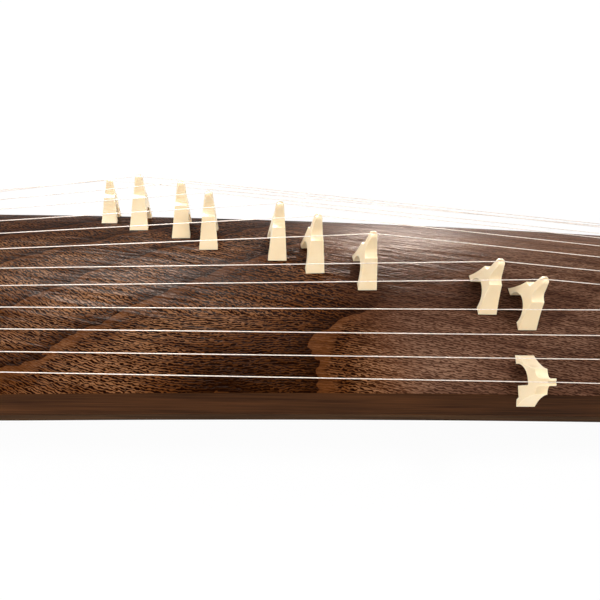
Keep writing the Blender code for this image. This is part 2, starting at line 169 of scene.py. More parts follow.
@dataclass(frozen=True)
class ScorchedTop(Finish):
    """Paulownia scorched with an iron and waxed: brown, with flame figure and short dark pores, and a soft sheen."""

    light: str = "8C654A"
    middle: str = "57341F"
    dark: str = "140501"
    flame_mm: Point = (51.0, 112.0)             # between two flames: towards the head, and towards the tail
    flame_from: float = 222.0                   # the across position where the first spacing gives way to the second
    flame_turn: float = -30.0                   # degrees; they run aslant, up towards the tail
    flame_bend: float = 45.0                    # how far the last flame bends down at the near edge, in millimetres
    upper_mm: Point = (5.0, 3.6)               # pitch of the pores over the arch, drawn coarse so that they show
    lower_mm: Point = (6.0, 2.2)               # the same towards the near edge
    upper_lean: tuple[float, float, float] = (0.25, 0.85, -0.34)    # lean, curl and centre over the arch
    lower_lean: tuple[float, float, float] = (-0.10, 1.30, -0.40)   # the same towards the near edge
    fibre_mm: Point = (7.5, 2.3)              # the longer lines of the straight-grained part
    fibre_lean: float = 0.16
    plain_x: Point = (-0.33, -0.24)             # between these the flames and the deep pores fade out
    plain_turn: float = -20.0
    swell_mm: Point = (70.0, 8.0)              # the gentle rolls that the plane left, seen in the gloss
    swell_turn: float = 10.0
    # Soft patches (x, y, reach along, reach across, factor at the middle) that scale the top's tone: two darker ones
    # near x -0.4, painted shade along the far rim towards the head, a painted shadow of the bridges at x -0.15, a
    # lighter one by the near rim, and painted sheen along the far rim from mid-length.
    tone_and_painted_light_spots: tuple[tuple[float, float, float, float, float], ...] = (
        (-0.42, -0.10, 0.11, 0.06, 0.50), (-0.38, -0.01, 0.20, 0.09, 0.62), (-0.60, 0.08, 0.34, 0.07, 0.55),
        (-0.15, -0.02, 0.12, 0.05, 0.55), (-0.20, -0.10, 0.14, 0.04, 1.45), (-0.02, 0.085, 0.32, 0.09, 1.35))

    def flames(self, tree: bpy.types.NodeTree) -> bpy.types.NodeSocket:
        """How far a point lies from one flame's edge to the next, from 0 to 1."""
        broad = add_node(tree, "ShaderNodeTexNoise", {
            "Vector": self.place(tree, (per_mm(260), per_mm(90), per_mm(90)), self.flame_turn), "Scale": 1.0,
            "Detail": 1.0})
        ragged = add_node(tree, "ShaderNodeTexNoise", {
            "Vector": self.place(tree, (per_mm(34), per_mm(22), per_mm(22)), self.flame_turn), "Scale": 1.0,
            "Detail": 3.0, "Roughness": 0.6})
        across = add_node(tree, "ShaderNodeSeparateXYZ", {0: self.place(tree, (per_mm(1),) * 3, self.flame_turn)})
        spot = add_node(tree, "ShaderNodeSeparateXYZ", {0: self.place(tree, (1, 1, 1))})
        at_rim = add_node(tree, "ShaderNodeMapRange", {
            "Value": spot.outputs["Y"], "From Min": -0.068, "From Max": -0.125, "To Max": self.flame_bend},
            interpolation_type="SMOOTHSTEP")
        at_last = add_node(tree, "ShaderNodeMapRange", {
            "Value": spot.outputs["X"], "From Min": -0.44, "From Max": -0.35}, interpolation_type="SMOOTHSTEP")
        bent = add_node(tree, "ShaderNodeMath", {0: at_rim.outputs[0], 1: at_last.outputs[0], 2: across.outputs["Y"]},
                        operation="MULTIPLY_ADD")
        swing = add_node(tree, "ShaderNodeMath", {0: broad.outputs["Fac"], 1: 30.0, 2: bent.outputs[0]},
                         operation="MULTIPLY_ADD")
        torn = add_node(tree, "ShaderNodeMath", {0: ragged.outputs["Fac"], 1: 22.0, 2: swing.outputs[0]},
                        operation="MULTIPLY_ADD")
        past = add_node(tree, "ShaderNodeMath", {0: torn.outputs[0], 1: self.flame_from + 26.0}, operation="SUBTRACT")
        ahead = add_node(tree, "ShaderNodeMath", {0: past.outputs[0], 1: 0.0}, operation="MAXIMUM")
        behind = add_node(tree, "ShaderNodeMath", {0: past.outputs[0], 1: 0.0}, operation="MINIMUM")
        wide = add_node(tree, "ShaderNodeMath", {0: behind.outputs[0], 1: 1 / self.flame_mm[1]}, operation="MULTIPLY")
        phase = add_node(tree, "ShaderNodeMath", {0: ahead.outputs[0], 1: 1 / self.flame_mm[0], 2: wide.outputs[0]},
                         operation="MULTIPLY_ADD")
        return add_node(tree, "ShaderNodeMath", {0: phase.outputs[0]}, operation="FRACT").outputs[0]

    def strokes(self, tree: bpy.types.NodeTree, size: Point, lean: float, curl: float = 0.0,
                centre: float = 0.0) -> bpy.types.NodeSocket:
        """Separate strokes that lean along the board, with a curl more and more away from a centre.

        Args:
            tree: where the nodes go.
            size: the pitch of the strokes along and across, in millimetres.
            lean: how much they fall for each step towards the tail.
            curl: how fast the lean grows away from the centre.
            centre: the x from which it grows.

        Returns:
            The distance to the nearest stroke's middle, in pitches.
        """
        along, across = size
        spot = add_node(tree, "ShaderNodeSeparateXYZ", {0: self.place(tree, (1, 1, 1))})
        past = add_node(tree, "ShaderNodeMath", {0: spot.outputs["X"], 1: centre}, operation="SUBTRACT")
        far = add_node(tree, "ShaderNodeMath", {0: past.outputs[0]}, operation="ABSOLUTE")
        square = add_node(tree, "ShaderNodeMath", {0: past.outputs[0], 1: far.outputs[0]}, operation="MULTIPLY")
        swirl = add_node(tree, "ShaderNodeMath", {0: square.outputs[0], 1: curl, 2: spot.outputs["Y"]},
                         operation="MULTIPLY_ADD")
        turned = add_node(tree, "ShaderNodeMath", {0: spot.outputs["X"], 1: lean, 2: swirl.outputs[0]},
                          operation="MULTIPLY_ADD")
        bent = add_node(tree, "ShaderNodeCombineXYZ", {"X": spot.outputs["X"], "Y": turned.outputs[0]})
        scaled = add_node(tree, "ShaderNodeMapping", {
            "Vector": bent.outputs[0], "Scale": (per_mm(along), per_mm(across), 1.0)})
        bands = add_node(tree, "ShaderNodeTexWave", {
            "Vector": scaled.outputs[0], "Scale": 0.314, "Distortion": 7.0, "Detail": 1.0, "Detail Scale": 3.2,
            "Detail Roughness": 0.6}, bands_direction="Y", wave_profile="SIN")
        patchy = add_node(tree, "ShaderNodeTexNoise", {
            "Vector": scaled.outputs[0], "Scale": 1.1, "Detail": 1.0, "Roughness": 0.6})
        return add_node(tree, "ShaderNodeMix", {
            0: 0.43, 2: bands.outputs["Fac"], 3: patchy.outputs["Fac"]}).outputs[0]

    def plainness(self, tree: bpy.types.NodeTree) -> bpy.types.NodeSocket:
        """0 in the flamed part and 1 in the straight-grained part towards the tail."""
        spot = add_node(tree, "ShaderNodeSeparateXYZ", {0: self.place(tree, (1, 1, 1), self.plain_turn)})
        start, end = self.plain_x
        return add_node(tree, "ShaderNodeMapRange", {
            "Value": spot.outputs["X"], "From Min": start, "From Max": end},
            interpolation_type="SMOOTHSTEP").outputs[0]

    def scorch_and_painted_light(self, tree: bpy.types.NodeTree) -> bpy.types.NodeSocket:
        """The tone's unevenness: cloudy and streaked where the iron passed, darker towards both rims, and changed in a
        few soft patches, some of which are painted shade, a painted shadow and painted sheen.
        """
        cloud = add_node(tree, "ShaderNodeTexNoise", {
            "Vector": self.place(tree, (per_mm(170), per_mm(75), per_mm(75)), -20), "Scale": 1.0, "Detail": 3.0})
        streak = add_node(tree, "ShaderNodeTexNoise", {
            "Vector": self.place(tree, (per_mm(120), per_mm(9), per_mm(9)), 9), "Scale": 1.0, "Detail": 2.0,
            "Distortion": 0.4})
        uneven = add_node(tree, "ShaderNodeMath", {0: cloud.outputs["Fac"], 1: streak.outputs["Fac"]}, operation="ADD")
        tone = add_node(tree, "ShaderNodeMapRange", {
            "Value": uneven.outputs[0], "From Min": 0.78, "From Max": 1.16, "To Min": 0.62, "To Max": 1.08})
        edge = add_node(tree, "ShaderNodeSeparateXYZ", {0: self.place(tree, (1, 1, 1))})
        off = add_node(tree, "ShaderNodeMath", {0: edge.outputs["Y"]}, operation="ABSOLUTE")
        rim = add_node(tree, "ShaderNodeMapRange", {
            "Value": off.outputs[0], "From Min": 0.045, "From Max": 0.12, "To Min": 1.0, "To Max": 0.78})
        tone = add_node(tree, "ShaderNodeMath", {0: tone.outputs[0], 1: rim.outputs[0]}, operation="MULTIPLY")
        # Soft patches scale the tone; among them are painted shade along the far rim, a painted shadow of the bridges
        # and painted sheen by the far rim.
        for x, y, reach_x, reach_y, least in self.tone_and_painted_light_spots:
            scale = (1 / reach_x, 1 / reach_y, 0.0)
            far = add_node(tree, "ShaderNodeVectorMath", {
                0: self.place(tree, scale), 1: (x / reach_x, y / reach_y, 0.0)}, operation="DISTANCE")
            spot = add_node(tree, "ShaderNodeMapRange", {
                "Value": far.outputs["Value"], "From Max": 1.0, "To Min": least, "To Max": 1.0},
                interpolation_type="SMOOTHSTEP")
            tone = add_node(tree, "ShaderNodeMath", {0: tone.outputs[0], 1: spot.outputs[0]}, operation="MULTIPLY")
        return tone.outputs[0]

    def build(self, tree: bpy.types.NodeTree, shader: bpy.types.Node) -> None:
        """Flames that darken slowly to a sharp edge, with a smooth light line beyond it, and pores between."""
        flames, plain = self.flames(tree), self.plainness(tree)
        flame_tone = add_node(tree, "ShaderNodeValToRGB", {"Fac": flames}, stops=[
            (0.0, grey(0.20)), (0.03, grey(0.23)), (0.13, grey(0.54)), (0.40, grey(0.94)), (0.78, grey(0.90)),
            (0.87, grey(0.62)), (0.91, grey(0.74)), (0.99, grey(0.68))])
        faded = add_node(tree, "ShaderNodeMapRange", {"Value": plain, "To Min": 1.0, "To Max": 0.2})
        flamed = add_node(tree, "ShaderNodeMix", {0: faded.outputs[0], 6: grey(0.58), 7: flame_tone.outputs[0]},
                          data_type="RGBA")
        open_grain = add_node(tree, "ShaderNodeMapRange", {
            "Value": flames, "From Min": 0.965, "From Max": 0.905, "To Min": 0.3, "To Max": 1.0},
            interpolation_type="SMOOTHSTEP")
        across = add_node(tree, "ShaderNodeSeparateXYZ", {0: self.place(tree, (1, 1, 1))})
        # Towards the far rim the straight-grained part's grain fades to half: smoother wood there, and partly painted
        # sheen standing in for the gloss's haze.
        closed = add_node(tree, "ShaderNodeMapRange", {
            "Value": across.outputs["Y"], "From Min": 0.025, "From Max": 0.075, "To Min": 1.0, "To Max": 0.50},
            interpolation_type="SMOOTHSTEP")
        deep = add_node(tree, "ShaderNodeMix", {0: plain, 2: open_grain.outputs[0], 3: closed.outputs[0]})
        by_rim = add_node(tree, "ShaderNodeMapRange", {
            "Value": across.outputs["Y"], "From Min": -0.044, "From Max": -0.060}, interpolation_type="SMOOTHSTEP")
        dashes = add_node(tree, "ShaderNodeMix", {
            0: by_rim.outputs[0], 2: self.strokes(tree, self.upper_mm, *self.upper_lean),
            3: self.strokes(tree, self.lower_mm, *self.lower_lean)})
        pores = add_node(tree, "ShaderNodeValToRGB", {"Fac": dashes.outputs[0]}, stops=[
            (0.35, grey(0.06)), (0.485, grey(0.42)), (0.615, grey(1.0))])
        fibres = add_node(tree, "ShaderNodeValToRGB", {"Fac": self.strokes(tree, self.fibre_mm, self.fibre_lean)},
                          stops=[(0.30, grey(0.34)), (0.47, grey(0.64)), (0.64, grey(1.0))])
        grain = add_node(tree, "ShaderNodeMix", {0: plain, 6: pores.outputs[0], 7: fibres.outputs[0]},
                         data_type="RGBA")
        figured = add_node(tree, "ShaderNodeMix", {0: deep.outputs[0], 6: flamed.outputs[2], 7: grain.outputs[2]},
                           data_type="RGBA", blend_type="MULTIPLY")
        tone = add_node(tree, "ShaderNodeMix", {0: 1.0, 6: figured.outputs[2], 7: self.scorch_and_painted_light(tree)},
                        data_type="RGBA", blend_type="MULTIPLY")
        tint = add_node(tree, "ShaderNodeValToRGB", {"Fac": tone.outputs[2]}, stops=[
            (0.04, colour(self.dark)), (0.42, colour(self.middle)), (0.90, colour(self.light))])
        warmth = add_node(tree, "ShaderNodeMapRange", {"Value": plain, "To Min": 1.08, "To Max": 0.88})
        warmed = add_node(tree, "ShaderNodeHueSaturation", {"Saturation": warmth.outputs[0], "Color": tint.outputs[0]})
        rough = add_node(tree, "ShaderNodeMapRange", {"Value": grain.outputs[2], "To Min": 0.38, "To Max": 0.30})
        swell = add_node(tree, "ShaderNodeTexNoise", {
            "Vector": self.place(tree, (per_mm(self.swell_mm[0]), per_mm(self.swell_mm[1]), 1.0), self.swell_turn),
            "Scale": 1.0, "Detail": 2.0})
        rolling = add_node(tree, "ShaderNodeBump", {"Distance": 0.0024, "Height": swell.outputs["Fac"]})
        bump = add_node(tree, "ShaderNodeBump", {
            "Strength": 0.5, "Distance": 0.0004, "Height": grain.outputs[2], "Normal": rolling.outputs[0]})
        tree.links.new(warmed.outputs[0], shader.inputs["Base Color"])
        tree.links.new(rough.outputs[0], shader.inputs["Roughness"])
        tree.links.new(bump.outputs[0], shader.inputs["Normal"])
        shader.inputs["Specular IOR Level"].default_value = 0.006


@dataclass(frozen=True)
class StraightGrain(Finish):
    """Wood whose grain runs along the piece: fine straight lines, a little lighter and darker."""

    light: str = "4E2F19"
    dark: str = "211208"
    line_mm: float = 1.6
    run_mm: float = 90.0
    roughness: float = 0.55
    specular: float = 0.015
    relief: float = 0.2

    def build(self, tree: bpy.types.NodeTree, shader: bpy.types.Node) -> None:
        """Long noise along X, with a second, broader one."""
        fine = add_node(tree, "ShaderNodeTexNoise", {
            "Vector": self.place(tree, (per_mm(self.run_mm), per_mm(self.line_mm), per_mm(self.line_mm))),
            "Scale": 1.0, "Detail": 4.0, "Roughness": 0.6})
        broad = add_node(tree, "ShaderNodeTexNoise", {
            "Vector": self.place(tree, (per_mm(self.run_mm * 2), per_mm(self.line_mm * 7), per_mm(self.line_mm * 7))),
            "Scale": 1.0, "Detail": 2.0})
        both = add_node(tree, "ShaderNodeMix", {0: 0.4, 2: fine.outputs["Fac"], 3: broad.outputs["Fac"]}).outputs[0]
        tint = add_node(tree, "ShaderNodeValToRGB", {"Fac": both}, stops=[
            (0.34, colour(self.dark)), (0.66, colour(self.light))])
        bump = add_node(tree, "ShaderNodeBump", {"Strength": self.relief, "Distance": 0.0003, "Height": both})
        tree.links.new(tint.outputs[0], shader.inputs["Base Color"])
        tree.links.new(bump.outputs[0], shader.inputs["Normal"])
        shader.inputs["Roughness"].default_value = self.roughness
        shader.inputs["Specular IOR Level"].default_value = self.specular


@dataclass(frozen=True)
class IvoryResin(Finish):
    """Cast cream resin, lightly polished: warm, slightly see-into, with a faint cloud."""

    light: str = "EBDABA"
    dark: str = "E5CEA7"

    def build(self, tree: bpy.types.NodeTree, shader: bpy.types.Node) -> None:
        """Cloudy cream with light scattered under the surface."""
        cloud = add_node(tree, "ShaderNodeTexNoise", {
            "Vector": self.place(tree, (per_mm(14), per_mm(14), per_mm(22))), "Scale": 1.0, "Detail": 3.0})
        tint = add_node(tree, "ShaderNodeMix", {
            0: cloud.outputs["Fac"], 6: colour(self.dark), 7: colour(self.light)}, data_type="RGBA")
        fine = add_node(tree, "ShaderNodeTexNoise", {"Vector": self.place(tree, (per_mm(0.9),) * 3), "Scale": 1.0})
        bump = add_node(tree, "ShaderNodeBump", {"Strength": 0.05, "Distance": 0.0002, "Height": fine.outputs["Fac"]})
        tree.links.new(tint.outputs[2], shader.inputs["Base Color"])
        tree.links.new(bump.outputs[0], shader.inputs["Normal"])
        shader.inputs["Roughness"].default_value = 0.5
        shader.inputs["Specular IOR Level"].default_value = 0.3
        shader.inputs["Subsurface Weight"].default_value = 1.0
        shader.inputs["Subsurface Radius"].default_value = (1.0, 0.92, 0.8)
        shader.inputs["Subsurface Scale"].default_value = 0.0012
        shader.inputs["IOR"].default_value = 1.5


@dataclass(frozen=True)
class TwistedString(Finish):
    """Waxed polyester cord of three twisted strands, off-white."""

    light: str = "E8DDD3"
    dark: str = "DCCFC4"
    lay_mm: float = 2.4

    def build(self, tree: bpy.types.NodeTree, shader: bpy.types.Node) -> None:
        """A slanted band for each strand along the cord."""
        twist = add_node(tree, "ShaderNodeTexWave", {
            "Vector": self.place(tree, (1, 1, 1)), "Scale": 0.314 / (self.lay_mm / 1000), "Distortion": 0.0},
            bands_direction="DIAGONAL", wave_profile="SIN")
        tint = add_node(tree, "ShaderNodeMix", {
            0: twist.outputs["Fac"], 6: colour(self.dark), 7: colour(self.light)}, data_type="RGBA")
        bump = add_node(tree, "ShaderNodeBump", {"Strength": 0.12, "Distance": 0.0001, "Height": twist.outputs["Fac"]})
        tree.links.new(tint.outputs[2], shader.inputs["Base Color"])
        tree.links.new(bump.outputs[0], shader.inputs["Normal"])
        shader.inputs["Roughness"].default_value = 0.45
        shader.inputs["Subsurface Weight"].default_value = 0.6
        shader.inputs["Subsurface Radius"].default_value = (1.0, 0.96, 0.93)
        shader.inputs["Subsurface Scale"].default_value = 0.001
        shader.inputs["Transmission Weight"].default_value = 0.15
        shader.inputs["Specular IOR Level"].default_value = 0.25


@dataclass(frozen=True)
class PolishedBrass(Finish):
    """Turned brass with a fine brushed ring."""

    tint: str = "D9B56E"

    def build(self, tree: bpy.types.NodeTree, shader: bpy.types.Node) -> None:
        """Bright metal, a little rougher in patches."""
        wear = add_node(tree, "ShaderNodeTexNoise", {"Vector": self.place(tree, (per_mm(2.5),) * 3), "Scale": 1.0})
        rough = add_node(tree, "ShaderNodeMapRange", {"Value": wear.outputs["Fac"], "To Min": 0.18, "To Max": 0.38})
        tree.links.new(rough.outputs[0], shader.inputs["Roughness"])
        shader.inputs["Base Color"].default_value = colour(self.tint)
        shader.inputs["Metallic"].default_value = 1.0


TOP = ScorchedTop("scorched_waxed_paulownia", Slot.TOP)
SIDE = StraightGrain("scorched_paulownia_side", Slot.TOP)
BACK = StraightGrain("scorched_paulownia_back", Slot.BACK, light="4A3422", dark="2A1C12", roughness=0.6)
BARE = StraightGrain("bare_paulownia", Slot.BARE, light="C9A67A", dark="A98459", line_mm=3.0, roughness=0.7)
ROSEWOOD = StraightGrain("oiled_rosewood", Slot.ROSEWOOD, light="5A2A19", dark="220F09", line_mm=1.1, run_mm=45.0,
                         roughness=0.36, specular=0.12, relief=0.15)
IVORY = IvoryResin("cast_ivory_resin", Slot.IVORY)
STRING = TwistedString("twisted_polyester", Slot.STRING)
BRASS = PolishedBrass("turned_brass", Slot.BRASS)


# Meshes


def finish_piece(name: str, bm: bmesh.types.BMesh, finish: Finish, body: str, nodes: Sequence[str] = (),
                 smooth: float = 35.0, clean: bool = True) -> bpy.types.Object:
    """Makes a finished piece of a bmesh.

    Args:
        name: the piece's name.
        bm: its bmesh, in place, which this frees.
        finish: what it wears.
        body: the body that it rides on, or an empty string for none.
        nodes: the solids that it stands for.
        smooth: degrees up to which edges are shaded smooth.
        clean: whether doubles are merged and the faces turned outward.

    Returns:
        The object.
    """
    if clean:
        bmesh.ops.remove_doubles(bm, verts=bm.verts, dist=1e-6)
        bmesh.ops.recalc_face_normals(bm, faces=bm.faces)
    mesh = bpy.data.meshes.new(name)
    bm.to_mesh(mesh)
    bm.free()
    mesh.shade_smooth()
    mesh.set_sharp_from_angle(angle=math.radians(smooth))
    mesh.materials.append(finish.material())
    piece = bpy.data.objects.new(name, mesh)
    bpy.context.scene.collection.objects.link(piece)
    if body:
        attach(piece, body)
    if nodes:
        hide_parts(*nodes)
    log.info("%s: %d faces", name, len(mesh.polygons))
    return piece


def soften_edges(piece: bpy.types.Object, width: float, segments: int = 2, angle: float = 30.0) -> None:
    """Rounds a piece's sharp edges with a bevel.

    Args:
        piece: the object.
        width: the bevel's width in metres.
        segments: its segments.
        angle: the least angle in degrees of an edge that is rounded.
    """
    piece.data.shade_smooth()
    bevel = piece.modifiers.new("soften", "BEVEL")
    bevel.width = width
    bevel.segments = segments
    bevel.limit_method = "ANGLE"
    bevel.angle_limit = math.radians(angle)
    bevel.harden_normals = True
    bevel.use_clamp_overlap = True


def baked(piece: bpy.types.Object) -> bpy.types.Mesh:
    """The mesh of a piece with its modifiers in it."""
    graph = bpy.context.evaluated_depsgraph_get()
    return bpy.data.meshes.new_from_object(piece.evaluated_get(graph), depsgraph=graph)


def bore(piece: bpy.types.Object, drill: bmesh.types.BMesh) -> None:
    """Takes a bmesh away from a piece, and frees it."""
    mesh = bpy.data.meshes.new("drill")
    drill.to_mesh(mesh)
    drill.free()
    cutter = bpy.data.objects.new("drill", mesh)
    bpy.context.scene.collection.objects.link(cutter)
    cut = piece.modifiers.new("holes", "BOOLEAN")
    cut.operation, cut.solver, cut.object = "DIFFERENCE", "EXACT", cutter
    piece.data = baked(piece)
    piece.modifiers.clear()
    bpy.data.objects.remove(cutter)


def stations(start: float, end: float, steps: int) -> list[float]:
    """Evenly spaced values from start to end, both in."""
    return [start + (end - start) * k / steps for k in range(steps + 1)]


def verts_of(result: dict) -> list:
    """The vertices among an operator's new geometry."""
    return [item for item in result["geom"] if isinstance(item, bmesh.types.BMVert)]


def loft(xs: Sequence[float], section: Callable[[float], list[Point]]) -> bmesh.types.BMesh:
    """A solid along X, grown station by station.

    Args:
        xs: the stations.
        section: gives the outline (y, z) at a station.

    Returns:
        The closed bmesh.
    """
    bm = bmesh.new()
    end = bm.faces.new([bm.verts.new((xs[0], y, z)) for y, z in section(xs[0])])
    for count, x in enumerate(xs[1:]):
        last = end
        grown = bmesh.ops.extrude_face_region(bm, geom=[last])["geom"]
        end = next(item for item in grown if isinstance(item, bmesh.types.BMFace))
        if count:
            bmesh.ops.delete(bm, geom=[last], context="FACES_ONLY")
        for vert, (y, z) in zip(end.verts, section(x)):
            vert.co = (x, y, z)
    return bm


@dataclass
class Shape:
    """The soundbox's form, in metres: the top is an arch across and a bow along."""

    head_end: float = -0.9067
    tail_end: float = 0.9133
    mid_half: float = 0.1214
    taper: float = 0.0045
    crown: float = 0.0337
    side: float = 0.0475
    top_bow: float = 0.0462
    back_bow: float = 0.0374
    top_wall: float = 0.012
    side_wall: float = 0.016
    arris: float = 0.002
    back_wall: float = 0.008
    gap: float = 0.0003
    head_foot: Point = (-0.866, 0.040)
    tail_foot: Point = (0.840, 0.026)
    slope: float = field(init=False)
    base_mid: float = field(init=False)

    def __post_init__(self) -> None:
        """Sets the body on its four feet."""
        (hx, hz), (tx, tz) = self.head_foot, self.tail_foot
        self.slope = (hz - tz + self.back_bow * (hx ** 2 - tx ** 2)) / (tx - hx)
        self.base_mid = hz + self.back_bow * hx ** 2 + self.slope * hx

    def half_width(self, x: float) -> float:
        """Half the body's width at x."""
        return self.mid_half - self.taper * x

    def base_z(self, x: float) -> float:
        """The underside's height."""
        return self.base_mid - self.back_bow * x * x - self.slope * x

    def edge_z(self, x: float) -> float:
        """The height where the top meets a side."""
        return self.base_mid + self.side - self.top_bow * x * x - self.slope * x

    def top_slope(self, x: float) -> float:
        """The top's rise for each metre along X."""
        return -2 * self.top_bow * x - self.slope

    def radius(self, x: float) -> float:
        """The arch's radius."""
        return (self.half_width(x) ** 2 + self.crown ** 2) / (2 * self.crown)

    def centre_z(self, x: float) -> float:
        """The height of the arch's centre."""
        return self.edge_z(x) + self.crown - self.radius(x)

    def edge_angle(self, x: float, inset: float = 0.0, wall: float = 0.0) -> float:
        """The angle from the crown to a line inset from the side, on a surface sunk by a wall."""
        return math.asin((self.half_width(x) - inset) / (self.radius(x) - wall))

    def on_arch(self, x: float, angle: float, height: float = 0.0) -> Vector:
        """A point over the top: angle from the crown, height square to the surface."""
        r = self.radius(x) + height
        return Vector((x, r * math.sin(angle), self.centre_z(x) + r * math.cos(angle)))

    def arch(self, x: float, radius: float, limit: float, steps: int) -> list[Point]:
        """Points (y, z) along an arch from +limit to -limit."""
        return [(radius * math.sin(a), self.centre_z(x) + radius * math.cos(a))
                for a in stations(limit, -limit, steps)]


@dataclass
class Soundbox:
    """The hollow body: carved top with its sides, bands, ribs, cover, collars and feet."""

    shape: Shape
    along: int = 96
    around: int = 64
    head_rib_x: float = -0.790
    tail_rib_x: float = 0.790
    head_rib_height: float = 0.0210
    tail_rib_height: float = 0.0170
    head_pitch: float = 0.0196
    head_reach: float = 0.1140                  # the outermost strings keep off the edge
    tail_pitch: float = 0.01728
    head_hole_x: float = -0.816
    tail_hole_x: float = 0.815
    hole_radius: float = 0.0020
    sound_holes: tuple[tuple[float, float, float], ...] = ((-0.700, 0.150, 0.112), (0.705, 0.135, 0.104))
    squareness: float = 2.4                     # 2 would be an oval
    strings: int = 13

    def head_angle(self, i: int) -> float:
        """Where string i lies over the arch at the head."""
        across = min(max((i - 7) * self.head_pitch, -self.head_reach), self.head_reach)
        return math.asin(across / (self.shape.radius(self.head_rib_x) + self.head_rib_height))

    def tail_angle(self, i: int) -> float:
        """Where string i lies over the arch at the tail."""
        return math.asin((i - 7) * self.tail_pitch / (self.shape.radius(self.tail_rib_x) + self.tail_rib_height))

    def board_section(self, x: float) -> list[Point]:
        """The carved top and its sides in one board, with rounded arrises."""
        s = self.shape
        h, top, bottom = s.half_width(x), s.edge_z(x), s.base_z(x) + s.back_wall
        limit = s.edge_angle(x, s.arris)
        outer = s.arch(x, s.radius(x), limit, self.around)
        (ay, az), low = outer[0], top - s.arris
        corner = Vector((h, az + (h - ay) * -math.tan(limit)))
        bend = [Vector((h, low)).lerp(corner, t).lerp(corner.lerp(Vector((ay, az)), t), t)
                for t in stations(0.0, 1.0, 4)[:-1]]
        edge = [(p.x, p.y) for p in bend]
        inner = s.arch(x, s.radius(x) - s.top_wall, s.edge_angle(x, s.side_wall, s.top_wall), self.around)
        inside = h - s.side_wall
        mirrored = [(-y, z) for y, z in reversed(edge)]
        return ([(h, bottom)] + edge + outer + mirrored + [(-h, bottom), (-inside, bottom)]
                + inner[::-1] + [(inside, bottom)])

    def make_board(self) -> None:
        """The top, with its string holes; its sides wear the straight grain."""
        s = self.shape
        bm = loft(stations(s.head_end, s.tail_end, self.along), self.board_section)
        board = finish_piece("carved_soundboard", bm, TOP, SOUNDBOX, ["soundboard_shell"])
        drill = bmesh.new()
        for x, angle_of in ((self.head_hole_x, self.head_angle), (self.tail_hole_x, self.tail_angle)):
            for i in range(1, self.strings + 1):
                turn = Matrix.Rotation(-angle_of(i), 4, "X")
                place = Matrix.Translation(s.on_arch(x, angle_of(i), -s.top_wall / 2)) @ turn
                bmesh.ops.create_cone(drill, cap_ends=True, segments=20, radius1=self.hole_radius,
                                      radius2=self.hole_radius, depth=s.top_wall * 1.8, matrix=place)
        bore(board, drill)
        board.data.materials.clear()
        for finish in (TOP, SIDE, BARE):
            board.data.materials.append(finish.material())
        for face in board.data.polygons:
            (x, y, z), normal = face.center, face.normal
            inside = abs(y) < s.half_width(x) - s.side_wall + 0.001 and (normal.z < -0.1 or abs(normal.y) > 0.9)
            side = abs(normal.y) > 0.9 and abs(y) > s.half_width(x) - 0.001
            face.material_index = 2 if inside else 1 if side else 0

    def make_back(self) -> None:
        """The back board, flush with the sides and fuller between the feet, with a sound hole near each end."""
        s, belly = self.shape, 0.0035

        def section(x: float) -> list[Point]:
            """The board's outline, square: its arrises are rounded once the holes are cut."""
            h, z = s.half_width(x), s.base_z(x)
            share = min(max((0.80 - abs(x)) / 0.20, 0.0), 1.0)
            low = z - belly * share ** 2 * (3 - 2 * share)
            return [(h, z + s.back_wall - s.gap), (h, low), (-h, low), (-h, z + s.back_wall - s.gap)]

        piece = finish_piece("sound_holed_back", loft(stations(s.head_end, s.tail_end, self.along), section), BACK,
                             SOUNDBOX, ["back_board"])
        drill = bmesh.new()
        for x, length, width in self.sound_holes:
            ring = []
            for t in stations(0.0, 2 * math.pi, 48)[:-1]:
                across, along = math.sin(t), math.cos(t)
                ring.append(drill.verts.new((
                    x + length / 2 * math.copysign(abs(along) ** (2 / self.squareness), along),
                    width / 2 * math.copysign(abs(across) ** (2 / self.squareness), across), s.base_z(x) - 0.02)))
            plug = bmesh.ops.extrude_face_region(drill, geom=[drill.faces.new(ring)])
            bmesh.ops.translate(drill, verts=verts_of(plug), vec=(0, 0, 0.05))
        bmesh.ops.recalc_face_normals(drill, faces=drill.faces)
        bore(piece, drill)
        soften_edges(piece, 0.0009, 2, 40)

    def make_bands(self) -> None:
        """The rosewood overlay round each end."""
        s, thick = self.shape, 0.0016

        def section(x: float) -> list[Point]:
            """The overlay's outline over the top and down both sides."""
            h, bottom, top = s.half_width(x), s.base_z(x) + 0.001, s.edge_z(x)
            near, far = h + s.gap, h + s.gap + thick
            outer = s.arch(x, s.radius(x) + s.gap + thick, s.edge_angle(x), self.around)
            inner = s.arch(x, s.radius(x) + s.gap, s.edge_angle(x, s.arris), self.around)
            return ([(near, bottom), (far, bottom), (far, top - s.arris)] + outer
                    + [(-far, top - s.arris), (-far, bottom), (-near, bottom), (-near, top - s.arris)]
                    + inner[::-1] + [(near, top - s.arris)])

        for name, start, end in (("head_edge_band", s.head_end, s.head_end + 0.018),
                                 ("tail_edge_band", s.tail_end - 0.014, s.tail_end)):
            piece = finish_piece(name + "_overlay", loft(stations(start, end, 4), section), ROSEWOOD, SOUNDBOX, [name])
            soften_edges(piece, 0.0004)

    def bar_over_arch(self, x0: float, profile: Sequence[Point], inset: float) -> bmesh.types.BMesh:
        """A bar over the arch.

        Args:
            x0: its place along the body.
            profile: its closed section, as (x offset, height).
            inset: how far each end stops short of the side.

        Returns:
            The closed bmesh.
        """
        s = self.shape
        limit, r, centre = s.edge_angle(x0, inset), s.radius(x0), Vector((x0, 0, s.centre_z(x0)))
        bm = bmesh.new()
        ring = [bm.verts.new((x0 + dx, (r + h) * math.sin(limit), centre.z + (r + h) * math.cos(limit)))
                for dx, h in profile]
        edges = [bm.edges.new(pair) for pair in zip(ring, ring[1:] + ring[:1])]
        bmesh.ops.spin(bm, geom=ring + edges, cent=centre, axis=(1, 0, 0), angle=2 * limit, steps=self.around,
                       use_merge=False)
        bmesh.ops.holes_fill(bm, edges=[edge for edge in bm.edges if edge.is_boundary])
        for vert in bm.verts:
            vert.co.z += s.edge_z(vert.co.x) - s.edge_z(x0)
        return bm

